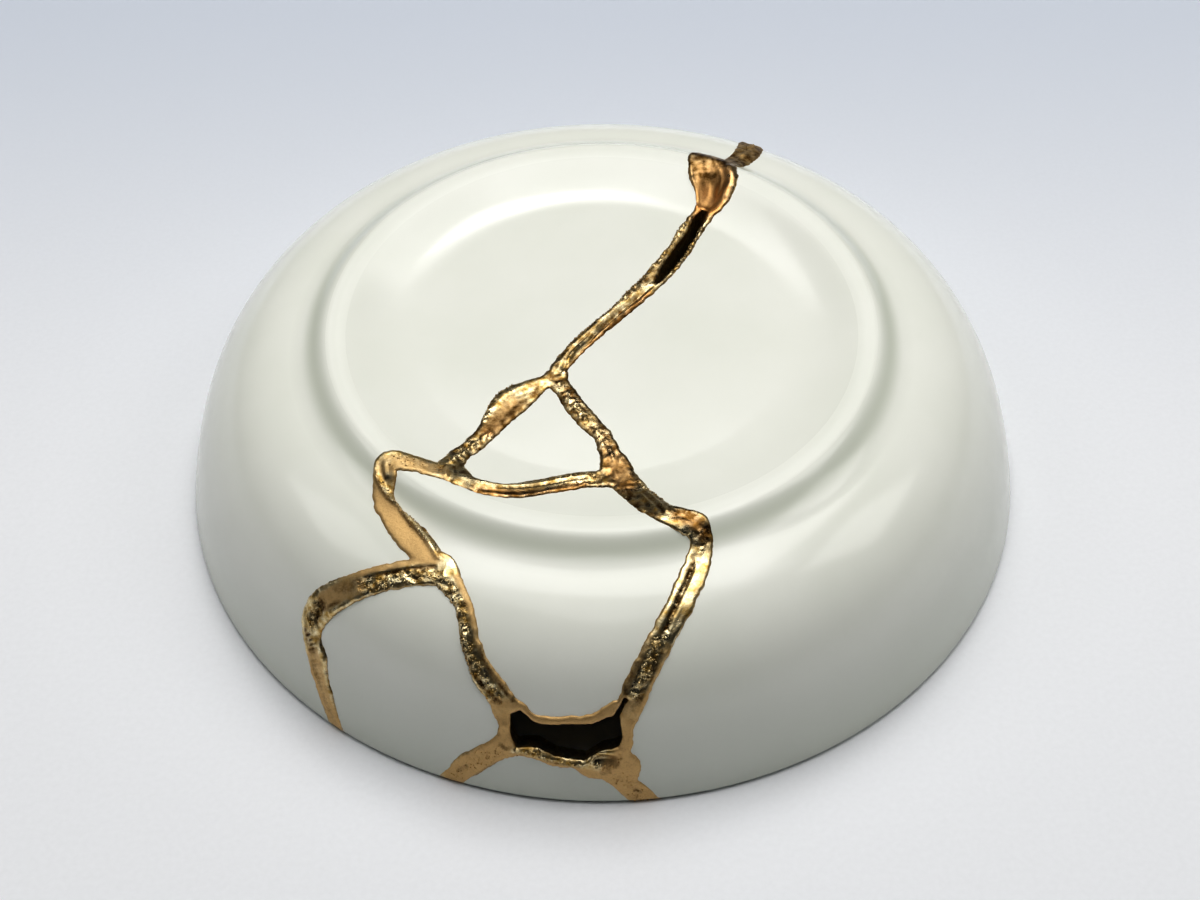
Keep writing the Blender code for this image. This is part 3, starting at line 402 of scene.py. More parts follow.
    ("matt", 2.0, 2.0, [(-15.0, -70.4, 0.9), (-12.0, -71.6, 1.0), (-8.6, -72.6, 1.0), (-4.0, -72.6, 1.0),
        (-0.8, -71.8, 1.0), (1.8, -69.6, 0.9)]),
    ("matt", 2.6, 2.6, [(-16.8, -70.6, 0.9), (-16.6, -73.6, 1.0), (-17.6, -76.8, 1.0), (-21.5, -79.2, 1.0),
        (-25.0, -81.0, 1.0), (-28.4, -83.2, 1.0)]),
    ("matt", 2.4, 2.4, [(4.6, -79.0, 1.0), (4.8, -83.0, 1.0), (6.4, -86.0, 1.0)]),
    ("matt", 1.8, 1.8, [(-3.0, -82.8, 1.0), (0.4, -83.8, 1.0), (3.4, -84.6, 1.0)]),
    ("matt", 1.6, 1.6, [(-17.8, -79.4, 1.0), (-14.6, -79.6, 1.0), (-8.8, -81.4, 1.0), (-4.6, -82.4, 1.0)]),
    ("matt", 2.8, 2.8, [(4.6, -71.4, 0.8), (3.8, -75.0, 1.0), (3.7, -79.0, 1.0), (1.0, -83.0, 1.0),
        (4.4, -85.2, 1.0), (8.2, -88.6, 1.0)]),
    ("bronze", 0.5, 0.5, [(-17.4, -76.6, 0.8), (-16.6, -77.4, 0.9), (-15.8, -77.2, 0.6)]),
    ("soft", 0.8, 0.8, [(-26.6, -81.4, -0.24), (-24.8, -80.6, -0.24)]),
    ("bronze", 0.5, 0.5, [(-26.6, -81.6, 0.5), (-24.8, -80.7, 0.5)]),
    ("grain", 0.55, 0.55, [(-15.2, -78.2, 0.7), (-12.0, -78.3, 1.0), (-8.8, -79.9, 1.0),
        (-4.4, -80.6, 1.0)]),
    ("edge", 0.30, 0.45, [(-15.4, -77.9, 0.20), (-12.0, -77.9, 0.30), (-8.8, -79.5, 0.34),
        (-4.2, -80.4, 0.30), (-1.6, -79.4, 0.24)]),
    ("soft", 1.5, 1.5, [(-1.4, -79.8, -0.7), (1.2, -79.9, -0.7)]),
    ("bronze", 1.4, 1.4, [(-1.6, -79.8, 0.5), (1.4, -80.0, 0.6)]),
    ("grain", 0.5, 0.5, [(-2.4, -80.8, 0.9), (0.0, -81.3, 0.9), (2.2, -80.6, 0.9), (2.6, -78.8, 0.7)]),
    ("grain", 1.6, 1.6, [(-18.6, -77.8, 0.35), (-24.0, -80.4, 0.35), (-29.6, -84.0, 0.35)]),
    ("grain", 1.6, 1.6, [(2.4, -83.4, 0.35), (6.0, -86.9, 0.35), (10.4, -91.4, 0.35)]),
    ("bronze", 0.5, 0.5, [(-18.8, -80.2, 0.5), (-22.0, -81.8, 0.5), (-26.8, -85.0, 0.5)]),
    ("bronze", 0.4, 0.4, [(-17.2, -71.8, 0.5), (-17.6, -74.8, 0.5)]),
    ("bronze", 0.5, 0.5, [(-0.6, -82.3, 0.5), (0.8, -82.0, 0.5)]),
    ("soft", 0.6, 0.6, [(4.6, -85.4, -0.20), (6.4, -86.4, -0.20)]),
    ("bronze", 0.4, 0.4, [(4.4, -85.3, 0.5), (6.6, -86.5, 0.5)]),
]


def from_hex(colour):
    """A colour written as sRGB hex, as linear red, green, blue."""
    shares = [int(colour[place:place + 2], 16) / 255 for place in (1, 3, 5)]
    return tuple(share / 12.92 if share <= 0.04045 else ((share + 0.055) / 1.055) ** 2.4
                 for share in shares)


def length_property(name, description, default):
    """A length in metres that a user may change."""
    return FloatProperty(name=name, description=description, default=default, unit="LENGTH", precision=5)


def colour_property(name, description, default):
    """A colour that a user may change, from its sRGB hex value."""
    return FloatVectorProperty(name=name, description=description, default=from_hex(default),
                               subtype="COLOR", size=3, min=0.0, max=1.0)


def amount_property(name, description, default, unit="NONE"):
    """An amount that a user may change."""
    return FloatProperty(name=name, description=description, default=default, min=0.0, unit=unit)


class DishSizes(bpy.types.PropertyGroup):
    """The dish's turned section, upside down on its rim."""
    rim_radius: length_property("Rim radius", "Radius of the rim that the dish rests on", RIM_RADIUS)
    height: length_property("Height", "From the rim to the crest of the foot ring", CREST_HEIGHT)
    foot_height: length_property("Foot height", "How far the foot ring stands over the base", 0.0030)
    base_thickness: length_property("Base thickness", "Porcelain between base and bowl floor", 0.0045)
    lip_thickness: length_property("Lip thickness", "Width of the rim", 0.0034)
    lip_round: length_property("Lip rounding", "Radius of the rim's two rounded edges", 0.0010)
    steps_round: IntProperty(name="Steps round", description="Faces round the dish", default=256, min=48)


class SeamSizes(bpy.types.PropertyGroup):
    """How the gold is laid over the cracks."""
    net_spacing: length_property("Net spacing", "Size of one face of the gold", 0.00026)
    body_height: length_property("Body height", "How far the gold stands over the glaze", 0.00034)
    edge_round: length_property("Edge rounding", "Width over which the gold rises from the glaze", 0.00062)
    lap: length_property("Lap", "How far the gold laps over each broken edge", 0.00045)
    grain_radius: length_property("Grain radius", "Largest radius of a loose grain of gold", 0.00020)
    grains: IntProperty(name="Grains", description="Grains per square millimetre where they lie thickest",
                        default=6, min=0)
    seed: IntProperty(name="Seed", description="Which scatter of grains", default=7)


class DishFinish(bpy.types.PropertyGroup):
    """The colours of the glaze, the gold and the table."""
    glaze: colour_property("Glaze", "White glaze where it lies thin", "#F1F2EC")
    glaze_pooled: colour_property("Pooled glaze", "Glaze where it gathers in hollows", "#E3E6DC")
    # Painted shade: glaze drawn darker in the corner outside the foot ring and towards the rim
    glaze_painted_shade: colour_property("Glaze with painted shade", "Glaze by the foot ring and the rim", "#D2D6CA")
    bisque: colour_property("Broken porcelain", "Bare porcelain on a broken edge", "#D9D5C8")
    gold_bright: colour_property("Bright gold", "Burnished gold on ridges", "#EADDB6")
    gold_deep: colour_property("Deep gold", "Gold powder in hollows", "#B4924E")
    gold_matt: colour_property("Matt gold", "Unburnished gold powder", "#CCAC79")
    # Painted reflection: the orange glow of light bounced in the hollows and glinting at the strands' edges
    gold_painted_glow: colour_property("Painted warm glow", "Gold with the painted glow of bounced light", "#B67C42")
    # Bronze, and painted shade where the bronzed share gathers in the hollows and browns the strands over
    # the base
    gold_tarnish_and_shade: colour_property("Bronzed and shaded gold", "Thin, bronzed gold over brown lacquer", "#553B19")
    table: colour_property("Table", "Pale paper that the dish stands on", "#EAECF1")
    # Painted shade: the paper is drawn deeper and bluer towards the back
    table_painted_shade: colour_property("Table's painted shade", "The paper behind the dish", "#C6CDDA")


class StageSizes(bpy.types.PropertyGroup):
    """The camera and the lights."""
    camera_place: FloatVectorProperty(name="Camera place", description="Where the camera stands", size=3,
                                      default=(0.0, -0.2088, 0.2340), subtype="TRANSLATION", unit="LENGTH")
    camera_turn: FloatVectorProperty(name="Camera turn", description="How the camera is turned", size=3,
                                     default=tuple(radians(turn) for turn in (41.79, 0.34, -0.26)),
                                     subtype="EULER")
    lens: amount_property("Lens", "Focal length in millimetres", 54.0, "CAMERA")
    softbox_power: amount_property("Softbox power", "Light above and behind, in watts", 9.2, "POWER")
    overhead_power: amount_property("Overhead power", "Light straight above, in watts", 4.6, "POWER")
    side_power: amount_property("Side power", "Light on each side, in watts", 1.7, "POWER")
    strip_power: amount_property("Strip power", "Small light low behind, in watts", 1.5, "POWER")
    room_strength: amount_property("Room strength", "Light from the room around", 0.012)


def bezier(start, start_handle, end_handle, end, steps):
    """Points along a cubic Bezier curve after its start, down to its end."""
    corners = np.array((start, start_handle, end_handle, end), float)
    t = (np.arange(steps) + 1) / steps
    weights = np.stack(((1 - t) ** 3, 3 * t * (1 - t) ** 2, 3 * t * t * (1 - t), t ** 3), axis=1)
    return [tuple(point) for point in weights @ corners]


def straight(start, end, steps):
    """Points along a straight line after its start, down to its end."""
    start, end = np.array(start, float), np.array(end, float)
    return [tuple(start + (end - start) * (step + 1) / steps) for step in range(steps)]


def arc(centre, radius, from_turn, to_turn, steps):
    """Points along an arc after its start, down to its end, with turns in degrees."""
    turns = np.radians(from_turn + (to_turn - from_turn) * (np.arange(steps) + 1) / steps)
    return [(centre[0] + radius * cos(turn), centre[1] + radius * sin(turn)) for turn in turns]


class Section:
    """The dish's half section in millimetres, as (radius, height) points from the axis out, round and back.

    The outer side runs down to the middle of the rim's flat, and the inner side from there up and in.
    Radii and the reach of handles are shares of the rim's radius. Each line's last number is its steps.
    """
    RECESS, CREST_INNER, CREST_OUTER, SHOULDER, FLOOR_EDGE = 0.4286, 0.6114, 0.6229, 0.7214, 0.6286
    RECESS_HANDLE, CREST_INNER_HANDLE, CREST_OUTER_HANDLE = 0.5214, 0.5771, 0.6514
    SHOULDER_HANDLES, LIP_HANDLE, FLOOR_HANDLE, BOWL_HANDLE = (-0.0629, 0.1286), 0.2929, 0.1429, 0.2857
    SHOULDER_DROP = 0.2
    SHOULDER_SLOPE, WALL_LEAN = radians(11.0), radians(10.3)

    def __init__(self, sizes, fineness=1):
        rim, height = sizes.rim_radius / MM, sizes.height / MM
        base = height - sizes.foot_height / MM
        floor = base - sizes.base_thickness / MM
        lip_round = sizes.lip_round / MM
        inner_edge = rim - sizes.lip_thickness / MM
        self.recess_radius = self.RECESS * rim
        recess, floor_edge = (self.recess_radius, base), (self.FLOOR_EDGE * rim, floor)
        crest_inner, crest_outer = (self.CREST_INNER * rim, height), (self.CREST_OUTER * rim, height)
        shoulder, lip = (self.SHOULDER * rim, base - self.SHOULDER_DROP), (rim, lip_round)
        before_shoulder, after_shoulder = (
            (shoulder[0] + run * rim * cos(self.SHOULDER_SLOPE),
             shoulder[1] - run * rim * sin(self.SHOULDER_SLOPE)) for run in self.SHOULDER_HANDLES)
        lip_handle, edge_handle = (
            (edge - rise * rim * sin(self.WALL_LEAN), lip_round + rise * rim * cos(self.WALL_LEAN))
            for edge, rise in ((rim, self.LIP_HANDLE), (inner_edge, self.BOWL_HANDLE)))
        floor_handle = (floor_edge[0] + self.FLOOR_HANDLE * rim, floor)
        middle = (rim + inner_edge) / 2

        self.outer = [(0.0, base)] + straight((0.0, base), recess, 5 * fineness)
        self.outer += bezier(recess, (self.RECESS_HANDLE * rim, base),
                             (self.CREST_INNER_HANDLE * rim, height), crest_inner, 18 * fineness)
        self.outer += straight(crest_inner, crest_outer, 2 * fineness)
        self.outer += bezier(crest_outer, (self.CREST_OUTER_HANDLE * rim, height),
                             before_shoulder, shoulder, 14 * fineness)
        self.shoulder_at = len(self.outer) - 1
        self.outer += bezier(shoulder, after_shoulder, lip_handle, lip, 36 * fineness)
        self.wall_end = len(self.outer) - 1
        self.outer += arc((rim - lip_round, lip_round), lip_round, 0, -90, 5 * fineness)
        self.outer += straight((rim - lip_round, 0.0), (middle, 0.0), fineness)
        self.inner = [(middle, 0.0)] + straight((middle, 0.0), (inner_edge + lip_round, 0.0), fineness)
        self.inner += arc((inner_edge + lip_round, lip_round), lip_round, -90, -180, 5 * fineness)
        self.inner += bezier((inner_edge, lip_round), edge_handle, floor_handle, floor_edge, 30 * fineness)
        self.inner += straight(floor_edge, (0.0, floor), 6 * fineness)


def lengths_along(points):
    """How far along a line each of its points is."""
    runs = np.diff(points, axis=0)
    return np.concatenate(([0.0], np.cumsum(np.hypot(runs[:, 0], runs[:, 1]))))


def side_normals(points):
    """Unit normals to the left of a line's direction, at each of its points."""
    runs = np.gradient(points, axis=0)
    runs /= np.linalg.norm(runs, axis=1)[:, None]
    return np.stack((-runs[:, 1], runs[:, 0]), axis=1)


class UnrolledWall:
    """Turns places on the unrolled dish into points of its wall, in metres. Its own lengths are in mm."""
    LIP_STRETCH = 4.0
    LEAST_CUT = 4.2
    PARALLEL = 1e-12

    def __init__(self, sizes):
        section = Section(sizes, fineness=6)
        outer, inner = np.array(section.outer), np.array(section.inner)
        self.along = lengths_along(outer)
        self.full_reach = self.along[-1]
        self.wall_reach = self.along[section.wall_end]
        self.outer, self.outer_normal = outer, side_normals(outer)
        self.outer_normal[0] = (0.0, 1.0)
        self.lean = self.lean_of_cracks(section, outer)
        inner_along = lengths_along(inner)
        behind = self.length_behind(outer, inner, inner_along)
        inner_normal = side_normals(inner)
        inner_normal[-1] = (0.0, -1.0)
        self.inner = self.sampled(behind, inner_along, inner)
        self.inner_normal = self.sampled(behind, inner_along, inner_normal)
        self.wall_depth = np.hypot(*(self.outer - self.inner).T)

    @staticmethod
    def sampled(at, along, columns):
        """Columns of values along a line, read at other lengths."""
        return np.stack([np.interp(at, along, column) for column in columns.T], axis=1)

    def lean_of_cracks(self, section, outer):
        """How far each crack leans from upright on its way through the wall, in radians."""
        runs = np.diff(outer, axis=0)
        leans = np.arctan2(-runs[:, 1], runs[:, 0])
        middles = (self.along[1:] + self.along[:-1]) / 2
        wall = slice(section.shoulder_at, section.wall_end)
        lean_at = np.concatenate(([0.0, section.recess_radius], middles[wall]))
        return np.interp(self.along, lean_at, np.concatenate(([0.0, 0.0], leans[wall])))

    def length_behind(self, outer, inner, inner_along):
        """How far along the inner side each point of the outer side has its partner through the wall."""
        inward = -np.stack((np.sin(self.lean), np.cos(self.lean)), axis=1)
        starts, runs = inner[:-1], np.diff(inner, axis=0)
        offsets = outer[:, None] - starts[None]
        turn = inward[:, None, 0] * runs[None, :, 1] - inward[:, None, 1] * runs[None, :, 0]
        turn = np.where(np.abs(turn) < self.PARALLEL, self.PARALLEL, turn)
        depth = -(offsets[..., 0] * runs[None, :, 1] - offsets[..., 1] * runs[None, :, 0]) / turn
        share = -(offsets[..., 0] * inward[:, None, 1] - offsets[..., 1] * inward[:, None, 0]) / turn
        depth = np.where((share >= 0) & (share <= 1) & (depth > 0), depth, np.inf)
        nearest = np.argmin(depth, axis=1)
        rows = np.arange(len(outer))
        seen = inner_along[nearest] + share[rows, nearest] * np.diff(inner_along)[nearest]
        meet_from = self.wall_reach - self.LIP_STRETCH
        last_seen = np.interp(meet_from, self.along, seen)
        to_lip = last_seen * (self.full_reach - self.along) / (self.full_reach - meet_from)
        return np.where(self.along < meet_from, seen, to_lip)

    def points(self, u, v, share=0.0, height=0.0):
        """Points at (u, v): share 0 is on the outer side, 1 on the inner. Height stands over it, in mm."""
        along = np.hypot(u, v)
        outer, inner = (self.sampled(along, self.along, side) for side in (self.outer, self.inner))
        share = np.broadcast_to(share, along.shape)[:, None]
        height = np.broadcast_to(height, along.shape)[:, None]
        normal = self.sampled(along, self.along, self.outer_normal)
        inner_normal = self.sampled(along, self.along, self.inner_normal)
        spot = outer * (1 - share) + inner * share + np.where(share < 0.5, normal, inner_normal) * height
        return self.turned(u, v, spot[:, 0], spot[:, 1])

    @staticmethod
    def turned(u, v, radius, height):
        """Points of the section, in mm, turned round to where (u, v) lies."""
        azimuth = np.arctan2(v, u)
        return np.stack((radius * np.cos(azimuth), radius * np.sin(azimuth), height), axis=1) * MM

    def depth(self, u, v):
        """Thickness of the wall at (u, v), in mm."""
        return np.interp(np.hypot(u, v), self.along, self.wall_depth)

    def cut_points(self, u, v, past_face):
        """Points past_face mm above the outer side, or that far past the inner side where it is below 0."""
        along = np.hypot(u, v)
        beyond = np.maximum(along - self.wall_reach, 0.0)
        along = np.minimum(along, self.wall_reach)
        outer = self.sampled(along, self.along, self.outer)
        lean = np.interp(along, self.along, self.lean)
        offset = past_face if past_face > 0 else past_face - self.cut_depth(along)
        radius = outer[:, 0] + beyond * np.cos(lean) + offset * np.sin(lean)
        height = outer[:, 1] - beyond * np.sin(lean) + offset * np.cos(lean)
        return self.turned(u, v, radius, height)

    def cut_depth(self, along):
        """How deep a crack has to go to pass the inner side, in mm."""
        return np.maximum(np.interp(along, self.along, self.wall_depth), self.LEAST_CUT)


def smooth_route(stations, spacing):
    """Stations (u, v, value) joined by a Catmull-Rom curve, with points about this far apart, in mm."""
    stations = np.array(stations, float)
    padded = np.vstack((stations[:1], stations, stations[-1:]))
    route = []
    for before, start, end, after in zip(padded, padded[1:], padded[2:], padded[3:]):
        steps = max(1, ceil(hypot(*(end - start)[:2]) / spacing))
        for t in np.arange(steps) / steps:
            route.append(0.5 * (2 * start + (end - before) * t
                                + (2 * before - 5 * start + 4 * end - after) * t ** 2
                                + (3 * start - before - 3 * end + after) * t ** 3))
    route.append(stations[-1])
    return np.array(route)


# ----------------------------------------------------------------------------------------------------
# Nodes
# ----------------------------------------------------------------------------------------------------

def add_node(tree, kind, inputs=None, **settings):
    """Adds a node with its settings. An input takes a constant, or an output socket that is linked."""
    node = tree.nodes.new(kind)
    for name, value in settings.items():
        setattr(node, name, value)
    set_inputs(node, inputs or {})
    return node


def set_inputs(node, inputs):
    """Sets a node's inputs, each to a constant or to the output socket that is linked to it."""
    for name, value in inputs.items():
        if isinstance(value, bpy.types.NodeSocket):
            node.id_data.links.new(value, node.inputs[name])
        else:
            node.inputs[name].default_value = value


def new_geometry_tree(name, sockets):
    """A Geometry Nodes tree with a geometry output and these named inputs, and its input node."""
    tree = bpy.data.node_groups.new(name, "GeometryNodeTree")
    tree.interface.new_socket("Geometry", in_out="OUTPUT", socket_type="NodeSocketGeometry")
    for socket_name, socket_type in sockets:
        tree.interface.new_socket(socket_name, in_out="INPUT", socket_type=socket_type)
    return tree, tree.nodes.new("NodeGroupInput")


def add_tree(obj, tree, values):
    """Puts a tree on an object, with its named inputs set."""
    modifier = obj.modifiers.new(tree.name, "NODES")
    modifier.node_group = tree
    identifiers = {item.name: item.identifier for item in tree.interface.items_tree
                   if item.in_out == "INPUT"}
    for name, value in values.items():
        modifier[identifiers[name]] = value


def drop_empty_slots(mesh):
    """Keeps one slot for each finish a mesh wears, so that no face has an empty one."""
    numbers = np.zeros(len(mesh.polygons), np.int32)
    mesh.polygons.foreach_get("material_index", numbers)
    worn = list(mesh.materials)
    kept = [finish for place, finish in enumerate(worn) if finish and finish not in worn[:place]]
    mesh.materials.clear()
    for finish in kept:
        mesh.materials.append(finish)
    renumbered = np.array([kept.index(finish) if finish else 0 for finish in worn] or [0], np.int32)
    mesh.polygons.foreach_set("material_index", renumbered[np.minimum(numbers, len(renumbered) - 1)])


def apply_all(obj):
    """Turns what an object's modifiers make into its own plain mesh."""
    depsgraph = bpy.context.evaluated_depsgraph_get()
    mesh = bpy.data.meshes.new_from_object(obj.evaluated_get(depsgraph), preserve_all_data_layers=True,
                                           depsgraph=depsgraph)
    obj.modifiers.clear()
    drop_empty_slots(mesh)
    obj.data = mesh


def new_object(name, mesh, collection=None):
    """An object with this mesh, in this collection or in the scene's own."""
    obj = bpy.data.objects.new(name, mesh)
    (collection or bpy.context.scene.collection).objects.link(obj)
    return obj


# ----------------------------------------------------------------------------------------------------
# Finishes
# ----------------------------------------------------------------------------------------------------

def new_material(name):
    """A node material. Returns it, its tree, its shader and the piece's own coordinates."""
    material = bpy.data.materials.new(name)
    material.use_nodes = True
    tree = material.node_tree
    tree.nodes.clear()
    shader = add_node(tree, "ShaderNodeBsdfPrincipled")
    add_node(tree, "ShaderNodeOutputMaterial", {"Surface": shader.outputs["BSDF"]})
    place = add_node(tree, "ShaderNodeTexCoord").outputs["Object"]
    return material, tree, shader, place


def opaque(colour):
    """A colour's red, green and blue with full alpha, as a node's socket wants it."""
    return (*colour, 1.0)


def per_metre(size_mm):
    """A texture scale whose features are this many millimetres across."""
    return 1.0 / (size_mm * MM)


def near_ring(tree, radius, middle, reach, full=0.0):
    """How near a place is to a ring of radius middle: 1 within full of it, down to 0 at reach, in metres."""
    away = add_node(tree, "ShaderNodeMath", {0: radius, 1: middle}, operation="SUBTRACT")
    beside = add_node(tree, "ShaderNodeMath", {0: away.outputs["Value"]}, operation="ABSOLUTE")
    near = add_node(tree, "ShaderNodeMapRange", {"Value": beside.outputs["Value"], "From Min": reach,
                                                 "From Max": full}, interpolation_type="SMOOTHSTEP")
    return near.outputs["Result"]


def glazed_porcelain(finish):
    """Glazed porcelain: a glassy white skin, uneven where it ran, with painted shade that makes it deeper in
    the corner outside the foot ring and towards the rim.
    """
    material, tree, shader, place = new_material("glazed_porcelain")
    pooling = add_node(tree, "ShaderNodeTexNoise", {"Vector": place, "Scale": per_metre(22.0),
                                                    "Detail": 3.0})
    pooled = add_node(tree, "ShaderNodeMix", {"Factor": pooling.outputs["Fac"], "A": opaque(finish.glaze),
                                              "B": opaque(finish.glaze_pooled)}, data_type="RGBA")
    # Painted shade: the glaze is drawn darker in the corner outside the foot ring, and towards the rim that
    # the dish stands on
    flat = add_node(tree, "ShaderNodeVectorMath", {0: place, 1: (1.0, 1.0, 0.0)}, operation="MULTIPLY")
    radius = add_node(tree, "ShaderNodeVectorMath", {0: flat.outputs["Vector"]}, operation="LENGTH")
    corner = near_ring(tree, radius.outputs["Value"], SHADE_CORNER_RADIUS, SHADE_CORNER_REACH)
    height = add_node(tree, "ShaderNodeSeparateXYZ", {"Vector": place})
    low = add_node(tree, "ShaderNodeMapRange", {
        "Value": height.outputs["Z"], "From Min": PAINTED_SHADE_BELOW, "From Max": 0.0,
        "To Max": PAINTED_SHADE_AT_RIM})
    painted_shade = add_node(tree, "ShaderNodeMath", {0: corner, 1: low.outputs["Result"]}, operation="MAXIMUM")
    darkened = add_node(tree, "ShaderNodeMix", {
        "Factor": painted_shade.outputs["Value"], "A": pooled.outputs["Result"],
        "B": opaque(finish.glaze_painted_shade)}, data_type="RGBA")
    # Glossy, but rubbed and drier on the crest of the foot ring
    smear = add_node(tree, "ShaderNodeTexNoise", {"Vector": place, "Scale": per_metre(5.0), "Detail": 4.0})
    gloss = add_node(tree, "ShaderNodeMapRange", {"Value": smear.outputs["Fac"], "To Min": 0.12,
                                                  "To Max": 0.17})
    rubbed = near_ring(tree, radius.outputs["Value"], CREST_RADIUS, CREST_RUB_REACH, CREST_RUB_FULL)
    dry = add_node(tree, "ShaderNodeMix", {"Factor": rubbed, 2: gloss.outputs["Result"], 3: 0.5})
    # Long waves where it ran, under the fine peel that any glaze has
    run = add_node(tree, "ShaderNodeTexNoise", {"Vector": place, "Scale": per_metre(14.0), "Detail": 2.0})
    waves = add_node(tree, "ShaderNodeBump", {"Height": run.outputs["Fac"], "Strength": 0.15,
                                              "Distance": 0.0003})
    peel = add_node(tree, "ShaderNodeTexNoise", {"Vector": place, "Scale": per_metre(1.4), "Detail": 1.0})
    skin = add_node(tree, "ShaderNodeBump", {"Height": peel.outputs["Fac"], "Strength": 0.12,
                                             "Distance": 0.00004, "Normal": waves.outputs["Normal"]})
    set_inputs(shader, {"Base Color": darkened.outputs["Result"], "Roughness": dry.outputs[0],
                        "Normal": skin.outputs["Normal"], "IOR": 1.47})
    return material


def broken_porcelain(finish):
    """Bare broken porcelain: matt, sugary and a shade darker than the glaze."""
    material, tree, shader, place = new_material("broken_porcelain")
    sugar = add_node(tree, "ShaderNodeTexNoise", {"Vector": place, "Scale": per_metre(0.4), "Detail": 4.0})
    tone = add_node(tree, "ShaderNodeMix", {"Factor": sugar.outputs["Fac"], "A": opaque(finish.bisque),
                                            "B": opaque(finish.glaze_pooled)}, data_type="RGBA")
    grit = add_node(tree, "ShaderNodeBump", {"Height": sugar.outputs["Fac"], "Strength": 0.6,
                                             "Distance": 0.0001})
    set_inputs(shader, {"Base Color": tone.outputs["Result"], "Roughness": 0.75,
                        "Normal": grit.outputs["Normal"]})
    return material


def gold_powder(finish):
    """Gold powder laid in lacquer: bright where burnished, tan and matt where not, bronzed where thin, with
    painted shade in its hollows and a painted warm glow.
    """
    material, tree, shader, place = new_material("burnished_gold_powder")
    bronzed_and_shaded, matt, warm = (add_node(tree, "ShaderNodeAttribute", attribute_name=name).outputs["Fac"]
                           for name in ("bronzed_and_shaded", "matt", "warm"))
    cloud = add_node(tree, "ShaderNodeTexNoise", {"Vector": place, "Scale": per_metre(1.6), "Detail": 5.0,
                                                  "Roughness": 0.65}).outputs["Fac"]
    powder = add_node(tree, "ShaderNodeTexNoise", {"Vector": place, "Scale": per_metre(0.3), "Detail": 3.0})
    spread = add_node(tree, "ShaderNodeMapRange", {"Value": cloud, "From Min": 0.35, "From Max": 0.65})
    speckle = add_node(tree, "ShaderNodeMath", {0: powder.outputs["Fac"], 1: 0.5}, operation="SUBTRACT")
    thin = add_node(tree, "ShaderNodeMath", {0: speckle.outputs["Value"], 1: 0.8, 2: bronzed_and_shaded},
                    operation="MULTIPLY_ADD", use_clamp=True)
    # From burnished powder to the painted warm glow, to matt and to bronzed with its painted shade, each
    # laid over the one before
    tone = opaque(finish.gold_deep)
    for share, colour in ((spread.outputs["Result"], finish.gold_bright), (warm, finish.gold_painted_glow),
                          (matt, finish.gold_matt), (thin.outputs["Value"], finish.gold_tarnish_and_shade)):
        tone = add_node(tree, "ShaderNodeMix", {"Factor": share, "A": tone, "B": opaque(colour)},
                        data_type="RGBA").outputs["Result"]
    satin = add_node(tree, "ShaderNodeMapRange", {"Value": cloud, "From Min": 0.3, "From Max": 0.7,
                                                  "To Min": 0.42, "To Max": 0.22})
    rough = add_node(tree, "ShaderNodeMix", {"Factor": matt, 2: satin.outputs["Result"], 3: 0.62})
    brush = add_node(tree, "ShaderNodeTexNoise", {"Vector": place, "Scale": per_metre(0.5), "Detail": 4.0,
                                                  "Roughness": 0.7})
    relief = add_node(tree, "ShaderNodeBump", {"Height": brush.outputs["Fac"], "Strength": 0.45,
                                               "Distance": 0.00012})
    set_inputs(shader, {"Base Color": tone, "Roughness": rough.outputs[0], "Metallic": 1.0,
                        "Normal": relief.outputs["Normal"]})
    return material


def table_paper(finish):
    """Pale card: matt, with a very fine tooth, and painted shade that makes it deeper and bluer towards the
    back.
    """
    material, tree, shader, place = new_material("pale_card")
    tooth = add_node(tree, "ShaderNodeTexNoise", {"Vector": place, "Scale": per_metre(0.9), "Detail": 3.0})
    tone = add_node(tree, "ShaderNodeMix", {
        "Factor": tooth.outputs["Fac"], "A": opaque(share * TOOTH_SHADE for share in finish.table),
        "B": opaque(finish.table)}, data_type="RGBA")
    # Painted shade: the card turns deeper and bluer towards the back
    apart = add_node(tree, "ShaderNodeSeparateXYZ", {"Vector": place})
    back = add_node(tree, "ShaderNodeMapRange", {
        "Value": apart.outputs["Y"], "From Min": CARD_SHADE_FROM, "From Max": CARD_SHADE_TO},
        interpolation_type="SMOOTHSTEP")
    shaded_card = add_node(tree, "ShaderNodeMix", {
        "Factor": back.outputs["Result"], "A": tone.outputs["Result"],
        "B": opaque(finish.table_painted_shade)}, data_type="RGBA")
    set_inputs(shader, {"Base Color": shaded_card.outputs["Result"], "Roughness": 0.85})
    return material


# ----------------------------------------------------------------------------------------------------
# The sherds
# ----------------------------------------------------------------------------------------------------

